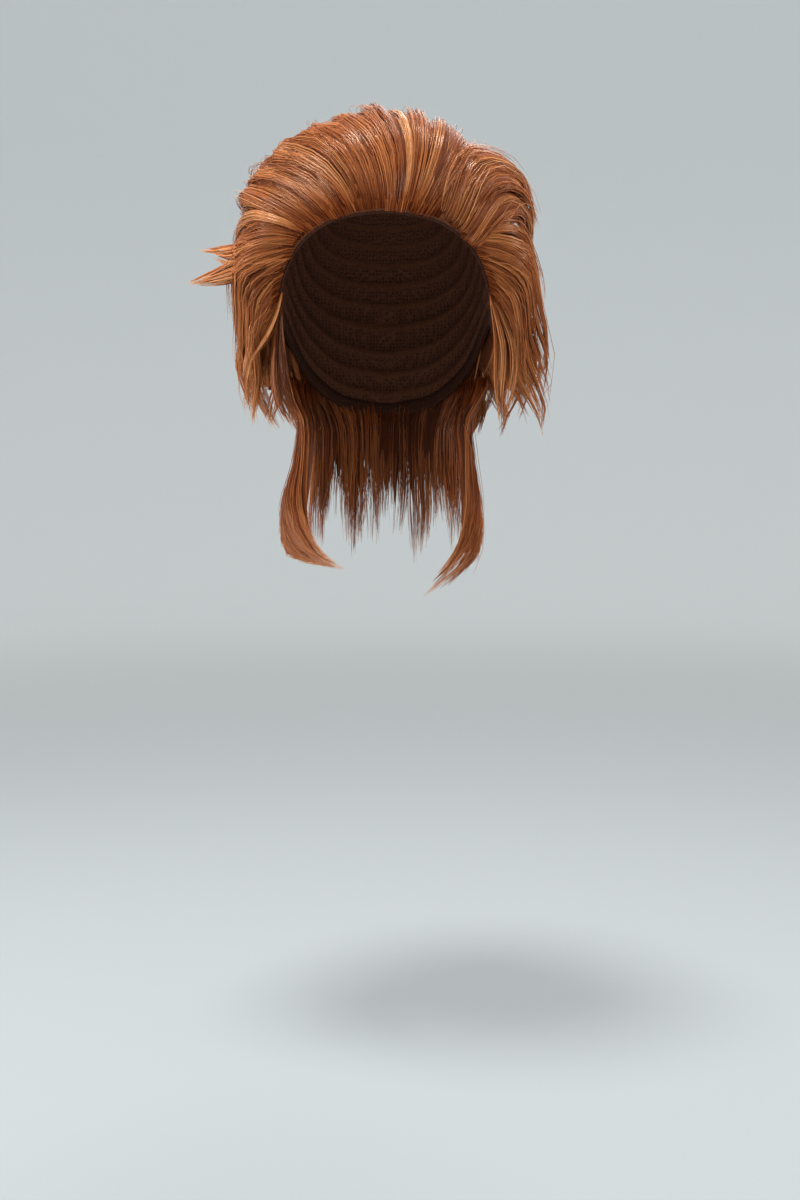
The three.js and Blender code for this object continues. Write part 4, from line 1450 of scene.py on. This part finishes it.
# %% Round sweep
floor_level = -0.633
sweep_reach, sweep_bend, sweep_top = 6.0, 2.0, 2.2
sweep_steps = 96
profile = [(0.0, floor_level)]
for a in np.linspace(0, math.pi / 2, 16):
    radius = sweep_reach - sweep_bend * (1 - math.sin(a))
    profile.append((radius, floor_level + sweep_bend * (1 - math.cos(a))))
profile.append((sweep_reach, sweep_top))
made = bmesh.new()
line = [made.verts.new((radius, 0, height)) for radius, height in profile]
edges = [made.edges.new(pair) for pair in zip(line, line[1:])]
turned = dict(axis=(0, 0, 1), cent=(0, 0, 0), angle=math.tau, steps=sweep_steps)
bmesh.ops.spin(made, geom=line + edges, **turned)
bmesh.ops.remove_doubles(made, verts=made.verts, dist=seam)
sweep = add_solid("sweep", made)
print("sweep:", len(sweep.data.polygons), "faces")

# %% Matt backdrop paper, darker underfoot as painted shade
climb_from, climb_to = 0.8, 4.2
paper, paper_shader, add = new_finish("matt backdrop paper, painted shade underfoot")
spot = add("ShaderNodeTexCoord", out="Object")
flat = add("ShaderNodeVectorMath", [spot, (1, 1, 0)], operation="MULTIPLY")
away = add("ShaderNodeVectorMath", [flat], out="Value", operation="LENGTH")
climb = add("ShaderNodeMapRange", [away, climb_from, climb_to], interpolation_type="SMOOTHSTEP")
# Painted shade: the paper is drawn darker near the middle of the floor and lighter out towards the wall.
greys = {0: climb, 6: linear("#9DA2A4"), 7: linear("#DCE1E3")}
shade = add("ShaderNodeMix", greys, out=2, data_type="RGBA")
paper.node_tree.links.new(shade, paper_shader.inputs["Base Color"])
paper_shader.inputs["Roughness"].default_value = 0.9
sweep.data.materials.append(paper)
print("paper:", paper.name)

# %% Lights
heart = (0, 0, -0.12)
for name, place, size, power in (
    ("key", (-0.2, -0.22, 1.3), 0.4, 24),
    ("left fill", (-1.45, -0.5, 0.1), 0.5, 16),
    ("right fill", (1.45, -0.5, 0.1), 0.5, 12),
    ("back", (0.3, 1.0, 1.1), 0.8, 9),
):
    lamp = bpy.data.lights.new(name, "AREA")
    lamp.shape = "DISK"
    lamp.size, lamp.energy = size, power
    holder = add_object(name, lamp)
    holder.location = place
    holder.rotation_euler = Vector(np.subtract(heart, place)).to_track_quat("-Z", "Y").to_euler()
    print(name, power, "W")
sky_strength = 0.84
world = bpy.data.worlds.new("soft room")
world.use_nodes = True
world.node_tree.nodes["Background"].inputs[0].default_value = linear("#FAFAF8")
world.node_tree.nodes["Background"].inputs[1].default_value = sky_strength
bpy.context.scene.world = world

# %% Camera
camera_tilt = 3.995
lens = bpy.data.cameras.new("camera")
lens.sensor_width = 36
lens.lens = 45
camera = add_object("camera", lens)
camera.location = (0.0106, -1.0841, -0.2265)
camera.rotation_euler = (math.radians(90 - camera_tilt), 0, 0)
bpy.context.scene.camera = camera
bpy.context.scene.view_settings.view_transform = "Standard"
print("camera at", tuple(camera.location))
